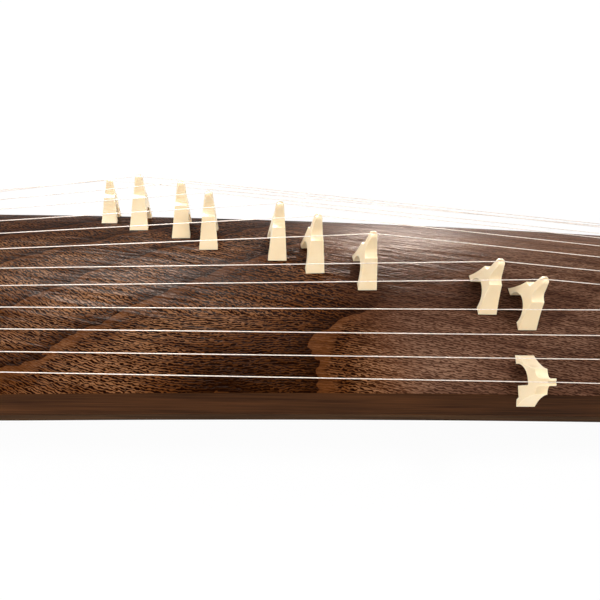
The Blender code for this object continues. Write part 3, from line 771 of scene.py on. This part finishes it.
    def make_ribs(self) -> None:
        """The two ribs that the strings cross, each with a pale strip in its crest."""
        s, strip_half, strip_height, string = self.shape, 0.0016, 0.0015, 0.0007
        for name, x, height in (("head_rib", self.head_rib_x, self.head_rib_height),
                                ("tail_rib", self.tail_rib_x, self.tail_rib_height)):
            out = math.copysign(1.0, x)
            crest = height - string - 2 * s.gap - strip_height
            outline = [(-0.0120, s.gap), (-0.0112, crest * 0.20), (-0.0096, crest * 0.31), (-0.0075, crest * 0.42),
                       (-0.0055, crest * 0.60), (-0.0042, crest * 0.78), (-0.0030, crest), (0.0034, crest),
                       (0.0062, crest * 0.84), (0.0082, crest * 0.66), (0.0098, crest * 0.45), (0.0110, crest * 0.32),
                       (0.0118, crest * 0.20), (0.0120, s.gap)]
            bar = self.bar_over_arch(x, [(out * dx, h) for dx, h in outline], 0.002)
            soften_edges(finish_piece(name + "_carved", bar, ROSEWOOD, SOUNDBOX, [name], 50), 0.0005)
            low = crest + s.gap
            strip = [(-strip_half, low), (-strip_half, low + strip_height), (strip_half, low + strip_height),
                     (strip_half, low)]
            inlay = self.bar_over_arch(x, strip, 0.004)
            soften_edges(finish_piece(name + "_inlay", inlay, IVORY, SOUNDBOX, [name + "_strip"]), 0.0003)

    def make_collars(self) -> None:
        """A turned brass collar round each string's hole at the head."""
        profile = [(0.0016, 0.0), (0.0016, 0.0013), (0.0019, 0.0016), (0.0032, 0.0016), (0.0040, 0.0011),
                   (0.0046, 0.0004), (0.0046, 0.0)]
        for i in range(1, self.strings + 1):
            bm = bmesh.new()
            ring = [bm.verts.new((r, 0, z)) for r, z in profile]
            edges = [bm.edges.new(pair) for pair in zip(ring, ring[1:] + ring[:1])]
            bmesh.ops.spin(bm, geom=ring + edges, cent=(0, 0, 0), axis=(0, 0, 1), angle=2 * math.pi, steps=32,
                           use_merge=True)
            tilt = Matrix.Rotation(-math.atan(self.shape.top_slope(self.head_hole_x)), 4, "Y")
            seat = Matrix.Translation(self.shape.on_arch(self.head_hole_x, self.head_angle(i), self.shape.gap))
            bm.transform(seat @ tilt @ Matrix.Rotation(-self.head_angle(i), 4, "X"))
            node = f"string_eyelet_{i:02d}"
            finish_piece(f"string_collar_{i:02d}", bm, BRASS, SOUNDBOX, [node], 40)

    def make_feet(self) -> None:
        """Four carved feet, waisted above a spread sole."""
        plans = (("head", -0.866, 0.030, 0.048, 0.082), ("tail", 0.840, 0.026, 0.040, 0.080))
        for end, x0, long, wide, out in plans:
            rise = self.shape.base_z(x0)
            side = [(1.00, 1.00), (0.99, 0.90), (0.97, 0.80), (0.88, 0.66), (0.78, 0.55), (0.72, 0.46), (0.70, 0.38),
                    (0.72, 0.28), (0.76, 0.20), (0.83, 0.12), (0.88, 0.08), (0.88, 0.04), (0.86, 0.0)]
            right = [(wide / 2 * w, rise * t) for w, t in side]
            outline = right + [(-y, z) for y, z in reversed(right)]
            for name, sign in (("near", -1), ("far", 1)):
                bm = bmesh.new()
                face = bm.faces.new([bm.verts.new((-0.5, y, z)) for y, z in outline])
                bmesh.ops.translate(bm, verts=verts_of(bmesh.ops.extrude_face_region(bm, geom=[face])), vec=(1, 0, 0))
                for share in (0.2, 0.38, 0.55, 0.8):
                    bmesh.ops.bisect_plane(bm, geom=bm.verts[:] + bm.edges[:] + bm.faces[:],
                                           plane_co=(0, 0, rise * share), plane_no=(0, 0, 1))
                for vert in bm.verts:
                    share = min(vert.co.z / rise, 1.0)
                    vert.co.x = x0 + vert.co.x * long * (0.80 + 0.20 * share)
                    vert.co.y += sign * out
                    if share > 0.99:
                        vert.co.z = self.shape.base_z(vert.co.x) - self.shape.gap
                node = f"{end}_foot_{name}"
                soften_edges(finish_piece(node + "_carved", bm, ROSEWOOD, SOUNDBOX, [node], 40), 0.0008)

    def make_cover(self) -> None:
        """The thin leaf-edged cover on the tail, under the returning strings."""
        s, front, thick, steps = self.shape, 0.836, 0.0016, 120
        back = s.tail_end - 0.014 - s.gap
        bm = bmesh.new()
        bmesh.ops.create_grid(bm, x_segments=1, y_segments=steps, size=1.0)
        for vert in bm.verts:
            angle = vert.co.y * s.edge_angle(back, 0.003)
            lobe = abs(math.cos(2.5 * math.pi * angle / s.edge_angle(back)))
            x = back if vert.co.x > 0 else front + (back - front) * 0.42 * (1 - lobe ** 0.6)
            vert.co = s.on_arch(x, angle, s.gap)
        for vert in verts_of(bmesh.ops.extrude_face_region(bm, geom=bm.faces[:])):
            angle = math.atan2(vert.co.y, vert.co.z - s.centre_z(vert.co.x))
            vert.co = s.on_arch(vert.co.x, angle, s.gap + thick)
        piece = finish_piece("leaf_edged_cover", bm, ROSEWOOD, SOUNDBOX, ["tail_leaf_cover"])
        soften_edges(piece, 0.0003, 2, 40)

    def dress_solids(self) -> None:
        """Gives the solids that keep their own shape their finishes."""
        for finish, names in ((BARE, ["head_brace", "middle_brace", "tail_brace"]),
                              (ROSEWOOD, ["head_end_plate", "tail_end_plate", "head_tongue"])):
            for name in names:
                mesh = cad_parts[name].data
                mesh.materials.clear()
                mesh.materials.append(finish.material())

    def build(self) -> None:
        """Makes every piece of the body."""
        self.make_board()
        self.make_back()
        self.make_bands()
        self.make_ribs()
        self.make_collars()
        self.make_feet()
        self.make_cover()
        self.dress_solids()


@dataclass(frozen=True)
class BridgePattern:
    """A bridge's driving sizes; its widths along the string are those at the sole and at the head."""

    spread: float = 0.0254                      # from its middle to the outside of a foot
    height: float = 0.0540
    sole: float = 0.0195
    head: float = 0.0078
    head_half: float = 0.0040                   # half the head's width across the strings
    dome: float = 0.0038                        # how far down the head's rounded top reaches
    round_sides: float = 0.7                    # how far the head's sides are rounded; 0 leaves them square
    lean: float = 0.0                           # degrees that its upright leans out over the edge


PLAIN = BridgePattern()
NEAR = BridgePattern(0.0257, 0.0520, 0.0190, 0.0074, 0.0032, 0.0016, 0.15, 8.0)
FAR = BridgePattern(0.0206, 0.0450, 0.0167, 0.0068)


@dataclass
class BridgeSet:
    """The thirteen movable bridges, each carved from its outline, tapered and rounded."""

    box: Soundbox
    first_length: float = 0.6674
    semitones: tuple[int, ...] = (0, -7, -5, -4, 0, 1, 5, 7, 8, 12, 13, 17, 19)
    nudge: tuple[float, ...] = (-0.0066, -0.0012, 0.0012, 0.0004, -0.0014, -0.0034, 0.0042, 0.0050, -0.0074, 0.0060,
                                -0.0066, 0.0108, 0.0020)
    across: tuple[float, ...] = (-0.1139, -0.0957, -0.0785, -0.0572, -0.0357, -0.0193, 0.0066, 0.0278, 0.0459, 0.0621,
                                 0.0839, 0.1012, 0.1158)
    # Degrees: each is given one by one, with the far leg a little nearer the head.
    yaw: tuple[float, ...] = (0.6, 2.6, 2.6, 2.6, 1.4, 1.1, 2.3, 4.8, 1.3, 3.5, 4.8, 4.8, 7.0)
    # The strings draw the heads towards the tail.
    tip_lean: tuple[float, ...] = (0.0012, 0.0014, 0.0014, 0.0014, 0.0012, 0.0009, 0.0020, 0.0031, 0.0028, 0.0031,
                                   0.0032, 0.0032, 0.0030)
    foot_thick: float = 0.0088
    shoulder: float = 0.583
    neck: float = 0.71
    shoulder_half: float = 0.0121
    crown: float = 0.339
    leg_hollow: float = 0.0011
    groove_depth: float = 0.0026
    groove_half: float = 0.0013
    string_sink: float = 0.0016
    hook_clear: float = 0.0022
    hook_drop: float = 0.0042
    hook_thick: float = 0.0069
    hook_seat: float = 0.0093
    hook_hollow: float = 0.0025

    def x_of(self, i: int) -> float:
        """Where bridge i stands, by the note that it gives its string."""
        length = self.first_length * 2 ** (-self.semitones[i - 1] / 12)
        return self.box.head_rib_x + length + self.nudge[i - 1]

    def pattern(self, i: int) -> BridgePattern:
        """The sizes of bridge i."""
        return {1: NEAR, self.box.strings: FAR}.get(i, PLAIN)

    def place(self, i: int) -> Matrix:
        """A bridge's frame: Z square to the arch, X along the top."""
        shape, x = self.box.shape, self.x_of(i)
        r = shape.radius(x)
        angle = self.across[i - 1] / r
        sink = r * (math.cos(math.asin(self.pattern(i).spread / r)) - 1)
        tilt = Matrix.Rotation(-math.atan(shape.top_slope(x)), 4, "Y") @ Matrix.Rotation(-angle, 4, "X")
        yaw = Matrix.Rotation(math.radians(self.yaw[i - 1]), 4, "Z")
        return Matrix.Translation(shape.on_arch(x, angle, sink)) @ tilt @ yaw

    def upright(self, i: int) -> tuple[Vector, Vector]:
        """In a bridge's frame, the direction of its upright and the one across it."""
        turn = math.radians(self.pattern(i).lean) * (-1 if i == 1 else 1)
        return Vector((0, math.sin(turn), math.cos(turn))), Vector((0, math.cos(turn), -math.sin(turn)))

    def crest(self, i: int) -> Vector:
        """Where the string lies in a bridge's head, in the bridge's frame."""
        lean = Vector((self.tip_lean[i - 1], 0, 0))
        return lean + self.upright(i)[0] * (self.pattern(i).height - self.string_sink)

    def sole_z(self, y: float, radius: float, spread: float) -> float:
        """The arch under a foot, above the line between the feet."""
        return math.sqrt(radius ** 2 - y ** 2) - math.sqrt(radius ** 2 - spread ** 2) + self.box.shape.gap

    def upper(self, kind: BridgePattern, side: int) -> list[Point]:
        """From a leg's shoulder over the ledge, up the neck and round the head to the string's groove."""
        height, neck_half = kind.height, kind.head_half + 0.0003
        shoulder, neck = height * self.shoulder, height * self.neck
        points = [(self.shoulder_half, shoulder)]
        for t in stations(0.10, 1.0, 7):
            u = t * math.pi / 2
            points.append((self.shoulder_half - (self.shoulder_half - neck_half) * math.sin(u),
                           neck - (neck - shoulder) * math.cos(u)))
        bulge = kind.head_half + 0.0002
        points += [(kind.head_half - 0.0003, (neck + height) / 2), (bulge, height - kind.dome - 0.0006)]
        for t in stations(0.2, 1.0, 4):
            u = t * math.pi / 2
            points.append((self.groove_half + (bulge - self.groove_half) * math.cos(u),
                           height - kind.dome * (1 - math.sin(u))))
        points.append((self.groove_half * 0.8, height - self.groove_depth * 0.7))
        turn = math.radians(kind.lean)
        return [(side * y * math.cos(turn) + z * math.sin(turn), z * math.cos(turn) - side * y * math.sin(turn))
                for y, z in points]

    def groove(self, kind: BridgePattern) -> Point:
        """The bottom of the string's groove."""
        turn, up = math.radians(kind.lean), kind.height - self.groove_depth
        return up * math.sin(turn), up * math.cos(turn)

    def flank(self, foot: Point, shoulder: Point, hollow: float) -> list[Point]:
        """A leg's outer edge between its foot and its shoulder.

        Args:
            foot: its outer lower corner.
            shoulder: its shoulder.
            hollow: how deep the edge is hollowed at its middle.

        Returns:
            The points between the two ends, from the foot up.
        """
        a, b = Vector(foot), Vector(shoulder)
        middle = (a + b) / 2 - Vector((math.copysign(2 * hollow, a.x), 0))
        return [tuple(a.lerp(middle, t).lerp(middle.lerp(b, t), t)) for t in stations(0.0, 1.0, 7)[1:-1]]

    def gap_between(self, left: float, peak: float, right: float, low: Point, crown: float) -> list[Point]:
        """The gap between the legs, as a half oval with its peak anywhere between its ends."""
        points = []
        for t in stations(math.pi, 0.0, 24):
            reach, base = (peak - left, low[0]) if t > math.pi / 2 else (right - peak, low[1])
            points.append((peak + reach * math.cos(t), base + (crown - base) * math.sin(t)))
        return points

    def plain_outline(self, kind: BridgePattern, radius: float) -> list[Point]:
        """A bridge seen along its string: two spread legs, a ledge, a slim neck and a grooved head."""
        spread, inner = kind.spread, kind.spread - self.foot_thick
        foot, upper = (spread, self.sole_z(spread, radius, spread)), self.upper(kind, 1)
        right = [foot] + self.flank(foot, upper[0], self.leg_hollow) + upper
        left = [(-y, z) for y, z in reversed(right)]
        low = self.sole_z(inner, radius, spread)
        return right + [self.groove(kind)] + left + self.gap_between(-inner, 0.0, inner, (low, low),
                                                                     kind.height * self.crown)

    def hooked_outline(self, kind: BridgePattern, x: float, angle: float) -> list[Point]:
        """An edge bridge: the outer foot rests on the rim, and a toe hooks down over the side."""
        shape = self.box.shape
        radius, spread, crown = shape.radius(x), kind.spread, kind.height * self.crown + 0.0012
        beyond = shape.edge_angle(x) - abs(angle)
        rim, inner = radius * math.sin(beyond), spread - self.foot_thick
        down = Vector((math.sin(abs(angle)), -math.cos(abs(angle))))
        seat = Vector((rim + self.hook_clear, self.sole_z(rim + self.hook_clear, radius, spread)))
        toe_in = seat + down * self.hook_drop
        toe_out = toe_in + Vector((self.hook_thick, -0.0014))
        wall = rim - self.hook_seat
        outer, far = self.upper(kind, 1), self.upper(kind, -1)[::-1]
        foot = (-spread, self.sole_z(spread, radius, spread))
        low = self.sole_z(inner, radius, spread)
        peak = wall - 0.0040
        gap = self.gap_between(-inner, peak, peak, (low, crown), crown)[:13]
        return ([tuple(toe_out)] + self.flank(tuple(toe_out), outer[0], self.hook_hollow) + outer
                + [self.groove(kind)] + far + self.flank(foot, far[-1], self.hook_hollow)[::-1] + [foot] + gap
                + [(wall + 0.0004, crown), (wall + 0.0012, crown - 0.0008),
                   (wall, self.sole_z(wall, radius, spread)), tuple(seat), tuple(toe_in)])

    def width_at(self, kind: BridgePattern, across: float, up: float) -> float:
        """The bridge's width along the string: tapered, and rounded both ways at the head."""
        plain = kind.sole + (kind.head - kind.sole) * up / kind.height
        top = min(max((up - kind.height) / kind.dome + 1, 0.0), 1.0)
        neck = kind.height * self.neck
        rounding = min(max((up - neck) / (kind.height - kind.dome - neck), 0.0), 1.0)
        out = min(abs(across) / kind.head_half, 1.0) * rounding
        return plain * (0.2 + 0.8 * math.sqrt(max(1 - top ** 3 - kind.round_sides * out ** 2, 0.0)))

    def make(self, i: int) -> None:
        """One bridge.

        Args:
            i: its string's number.
        """
        kind, x = self.pattern(i), self.x_of(i)
        r = self.box.shape.radius(x)
        hooked = i in (1, self.box.strings)
        outline = self.hooked_outline(kind, x, self.across[i - 1] / r) if hooked else self.plain_outline(kind, r)
        if i == 1:
            outline = [(-y, z) for y, z in outline]
        bm = bmesh.new()
        face = bm.faces.new([bm.verts.new((-0.5, y, z)) for y, z in outline])
        bmesh.ops.translate(bm, verts=verts_of(bmesh.ops.extrude_face_region(bm, geom=[face])), vec=(1, 0, 0))
        up, across = self.upright(i)
        levels = [kind.height - kind.dome * (1 - math.sin(t * math.pi / 2)) for t in (0, 0.2, 0.4, 0.6, 0.8)]
        cuts = [(up, level) for level in levels + [kind.height * self.shoulder, kind.height * self.neck]]
        cuts += [(across, out * kind.head_half) for out in (-0.85, -0.6, -0.3, 0.3, 0.6, 0.85)]
        for normal, reach in cuts:
            bmesh.ops.bisect_plane(bm, geom=bm.verts[:] + bm.edges[:] + bm.faces[:], plane_co=normal * reach,
                                   plane_no=normal)
        for vert in bm.verts:
            height = vert.co.dot(up)
            width = self.width_at(kind, vert.co.dot(across), height)
            vert.co.x = vert.co.x * width + self.tip_lean[i - 1] * height / kind.height
        bm.transform(self.place(i))
        name = f"bridge_{i:02d}"
        piece = finish_piece(name + "_carved", bm, IVORY, name, [name], 40)
        soften_edges(piece, 0.00045, 3, 28)

    def build(self) -> None:
        """Makes the thirteen bridges."""
        for i in range(1, self.box.strings + 1):
            self.make(i)


@dataclass
class StringSet:
    """The thirteen strings, each in a head part and a tail part that stretch from its bridge."""

    box: Soundbox
    bridges: BridgeSet
    radius: float = 0.00039
    wrap: float = 0.0030
    over_tail: float = 0.0040
    strip_half: float = 0.0016

    def soften(self, points: list[Vector], corners: set[int], radius: float = 0.004) -> list[Vector]:
        """Rounds the chosen corners of a route."""
        out = []
        for k, point in enumerate(points):
            if k not in corners:
                out.append(point)
                continue
            before, after = points[k - 1] - point, points[k + 1] - point
            a = point + before.normalized() * min(radius, before.length * 0.45)
            b = point + after.normalized() * min(radius, after.length * 0.45)
            out += [a * (1 - t) ** 2 + point * 2 * t * (1 - t) + b * t ** 2 for t in stations(0.0, 1.0, 6)]
        return out

    def routes(self, i: int) -> tuple[list[Vector], list[Vector]]:
        """The route from the head hole to the bridge, and from the bridge round the tail."""
        shape, box = self.box.shape, self.box
        kind, place = self.bridges.pattern(i), self.bridges.place(i)
        tip = self.bridges.crest(i)
        grip = Vector((kind.head / 2 + 0.0006, 0, 0))
        under = -shape.top_wall - 0.0055

        def head(x: float, height: float) -> Vector:
            """A point of the route at the head."""
            return shape.on_arch(x, box.head_angle(i), height)

        def tail(x: float, height: float) -> Vector:
            """A point of the route at the tail."""
            return shape.on_arch(x, box.tail_angle(i), height)

        first = [head(box.head_hole_x, under), head(box.head_hole_x, 0.0045),
                 head(box.head_rib_x - self.strip_half, box.head_rib_height),
                 head(box.head_rib_x + self.strip_half, box.head_rib_height), place @ (tip - grip), place @ tip]
        second = [place @ tip, place @ (tip + grip), tail(box.tail_rib_x - self.strip_half, box.tail_rib_height),
                  tail(box.tail_rib_x + self.strip_half, box.tail_rib_height), tail(box.tail_hole_x, 0.0030),
                  tail(box.tail_hole_x, under), tail(shape.tail_end + self.wrap, under),
                  tail(shape.tail_end + self.wrap, self.over_tail), tail(shape.tail_end - 0.020, self.over_tail),
                  tail(box.tail_hole_x + 0.008, self.over_tail)]
        return self.soften(first, {1}), self.soften(second, {4, 5, 6, 7})

    def tube(self, name: str, route: list[Vector]) -> bpy.types.Object:
        """A round tube along a route, with points spread along its long runs.

        Args:
            name: the piece's name.
            route: its points.

        Returns:
            The mesh object, which rides on nothing yet.
        """
        points = [route[0]]
        for a, b in zip(route, route[1:]):
            count = max(1, round((b - a).length / 0.02))
            points += [a.lerp(b, k / count) for k in range(1, count + 1)]
        curve = bpy.data.curves.new(name, "CURVE")
        curve.dimensions = "3D"
        curve.bevel_depth = self.radius
        curve.bevel_resolution = 3
        curve.use_fill_caps = True
        spline = curve.splines.new("POLY")
        spline.points.add(len(points) - 1)
        for point, spot in zip(spline.points, points):
            point.co = (*spot, 1.0)
        path = bpy.data.objects.new(name + "_path", curve)
        bpy.context.scene.collection.objects.link(path)
        bm = bmesh.new()
        bm.from_mesh(baked(path))
        bpy.data.objects.remove(path)
        return finish_piece(name, bm, STRING, "", smooth=50)

    def build(self) -> None:
        """Makes both parts of each string."""
        for i in range(1, self.box.strings + 1):
            first, second = self.routes(i)
            body, node, seat = f"bridge_{i:02d}", f"string_{i:02d}", first[-1]
            for name, route, anchor in ((f"string_{i:02d}_head_part", first, Vector(first[-3])),
                                        (f"string_{i:02d}_tail_part", second, Vector(second[2]))):
                piece = self.tube(name, route)
                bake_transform(piece)
                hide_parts(node)
            log.info("string %d meets its bridge at %s", i, [round(c, 4) for c in seat])


@dataclass
class Studio:
    """A white sweep, a broad soft light from the tail side, a fill, and the camera."""

    shape: Shape
    stand: tuple[float, float, float] = (-0.39465, -0.42734, 0.57265)
    turn: tuple[float, float, float] = (36.393, -5.601, -2.335)
    focal_px: float = 587.2
    centre_px: Point = (318.0, 360.0)
    frame_px: float = 600.0
    sensor: float = 36.0

    def camera(self) -> None:
        """Sets the camera where the photograph was taken from."""
        data = bpy.data.cameras.new("camera")
        data.sensor_width = self.sensor
        data.lens = self.focal_px / self.frame_px * self.sensor
        data.shift_x = (self.frame_px / 2 - self.centre_px[0]) / self.frame_px
        data.shift_y = (self.centre_px[1] - self.frame_px / 2) / self.frame_px
        data.clip_start = 0.01
        camera = bpy.data.objects.new("camera", data)
        camera.location = self.stand
        camera.rotation_euler = [math.radians(angle) for angle in self.turn]
        bpy.context.scene.collection.objects.link(camera)
        bpy.context.scene.camera = camera

    def seen(self, tree: bpy.types.NodeTree) -> bpy.types.NodeSocket:
        """One where a ray comes from the camera, a gloss or glass, and none elsewhere."""
        ray = add_node(tree, "ShaderNodeLightPath")
        first = add_node(tree, "ShaderNodeMath", {0: ray.outputs["Is Camera Ray"], 1: ray.outputs["Is Glossy Ray"]},
                         operation="MAXIMUM")
        both = add_node(tree, "ShaderNodeMath", {0: first.outputs[0], 1: ray.outputs["Is Transmission Ray"]},
                        operation="MAXIMUM")
        return both.outputs[0]

    def world(self, level: float = 0.60) -> None:
        """White where it is seen, and a plain soft light elsewhere."""
        world = bpy.data.worlds.new("studio")
        world.use_nodes = True
        tree = world.node_tree
        strength = add_node(tree, "ShaderNodeMapRange", {"Value": self.seen(tree), "To Min": level, "To Max": 1.0})
        back = tree.nodes["Background"]
        back.inputs["Color"].default_value = (1, 1, 1, 1)
        tree.links.new(strength.outputs[0], back.inputs["Strength"])
        bpy.context.scene.world = world

    def floor(self) -> None:
        """A wide pale floor that keeps the shadow."""
        bm = bmesh.new()
        bmesh.ops.create_grid(bm, x_segments=1, y_segments=1, size=12.0)
        mesh = bpy.data.meshes.new("floor")
        bm.to_mesh(mesh)
        bm.free()
        made = bpy.data.materials.new("white_sweep")
        made.use_nodes = True
        tree = made.node_tree
        tree.nodes["Principled BSDF"].inputs["Base Color"].default_value = grey(0.86)
        tree.nodes["Principled BSDF"].inputs["Roughness"].default_value = 0.9
        glow = add_node(tree, "ShaderNodeEmission", {"Color": (1, 1, 1, 1), "Strength": 1.0})
        share = add_node(tree, "ShaderNodeMath", {0: self.seen(tree), 1: 0.95}, operation="MULTIPLY")
        mixed = add_node(tree, "ShaderNodeMixShader", {
            0: share.outputs[0], 1: tree.nodes["Principled BSDF"].outputs[0], 2: glow.outputs[0]})
        tree.links.new(mixed.outputs[0], tree.nodes["Material Output"].inputs["Surface"])
        mesh.materials.append(made)
        floor = bpy.data.objects.new("floor", mesh)
        bpy.context.scene.collection.objects.link(floor)

    def lamp(self, name: str, spot: Vector, aim: Vector, size: Point, power: float) -> bpy.types.Object:
        """A rectangular soft light.

        Args:
            name: its name.
            spot: where it hangs.
            aim: what it faces.
            size: its width and height.
            power: its power in watts.

        Returns:
            The lamp.
        """
        data = bpy.data.lights.new(name, "AREA")
        data.shape = "RECTANGLE"
        data.size, data.size_y = size
        data.energy = power
        lamp = bpy.data.objects.new(name, data)
        lamp.visible_camera = False
        lamp.location = spot
        lamp.rotation_euler = (aim - spot).to_track_quat("-Z", "Y").to_euler()
        bpy.context.scene.collection.objects.link(lamp)
        return lamp

    def build(self) -> None:
        """Sets the whole studio; the two sheens show only as gloss on the waxed top."""
        self.camera()
        self.world()
        self.floor()
        middle = Vector((-0.2, 0.0, 0.1))
        self.lamp("key", Vector((0.9, 0.1, 2.0)), middle, (0.5, 0.5), 32.0)
        self.lamp("fill", Vector((-1.6, -1.0, 0.55)), middle, (1.4, 0.7), 20.0)
        for name, spot, aim, size, power in (
                ("sheen_left", Vector((-0.92, 1.00, 1.28)), Vector((-0.53, 0.01, 0.13)), (0.60, 0.45), 500.0),
                ("sheen_low", Vector((0.10, 1.60, 0.29)), Vector((-0.21, 0.09, 0.12)), (0.40, 0.34), 102.0)):
            lamp = self.lamp(name, spot, aim, size, power)
            lamp.visible_diffuse = False
            lamp.data.color = colour("FFF0E4")[:3]
        bpy.context.scene.view_settings.view_transform = "Standard"


def main() -> None:
    """Builds the koto's finished pieces and the studio."""
    logging.basicConfig(level=logging.INFO, format="%(name)s: %(message)s")
    shape = Shape()
    studio = Studio(shape)
    studio.build()
    box = Soundbox(shape)
    box.build()
    bridges = BridgeSet(box)
    bridges.build()
    StringSet(box, bridges).build()


if __name__ == "__main__":
    main()
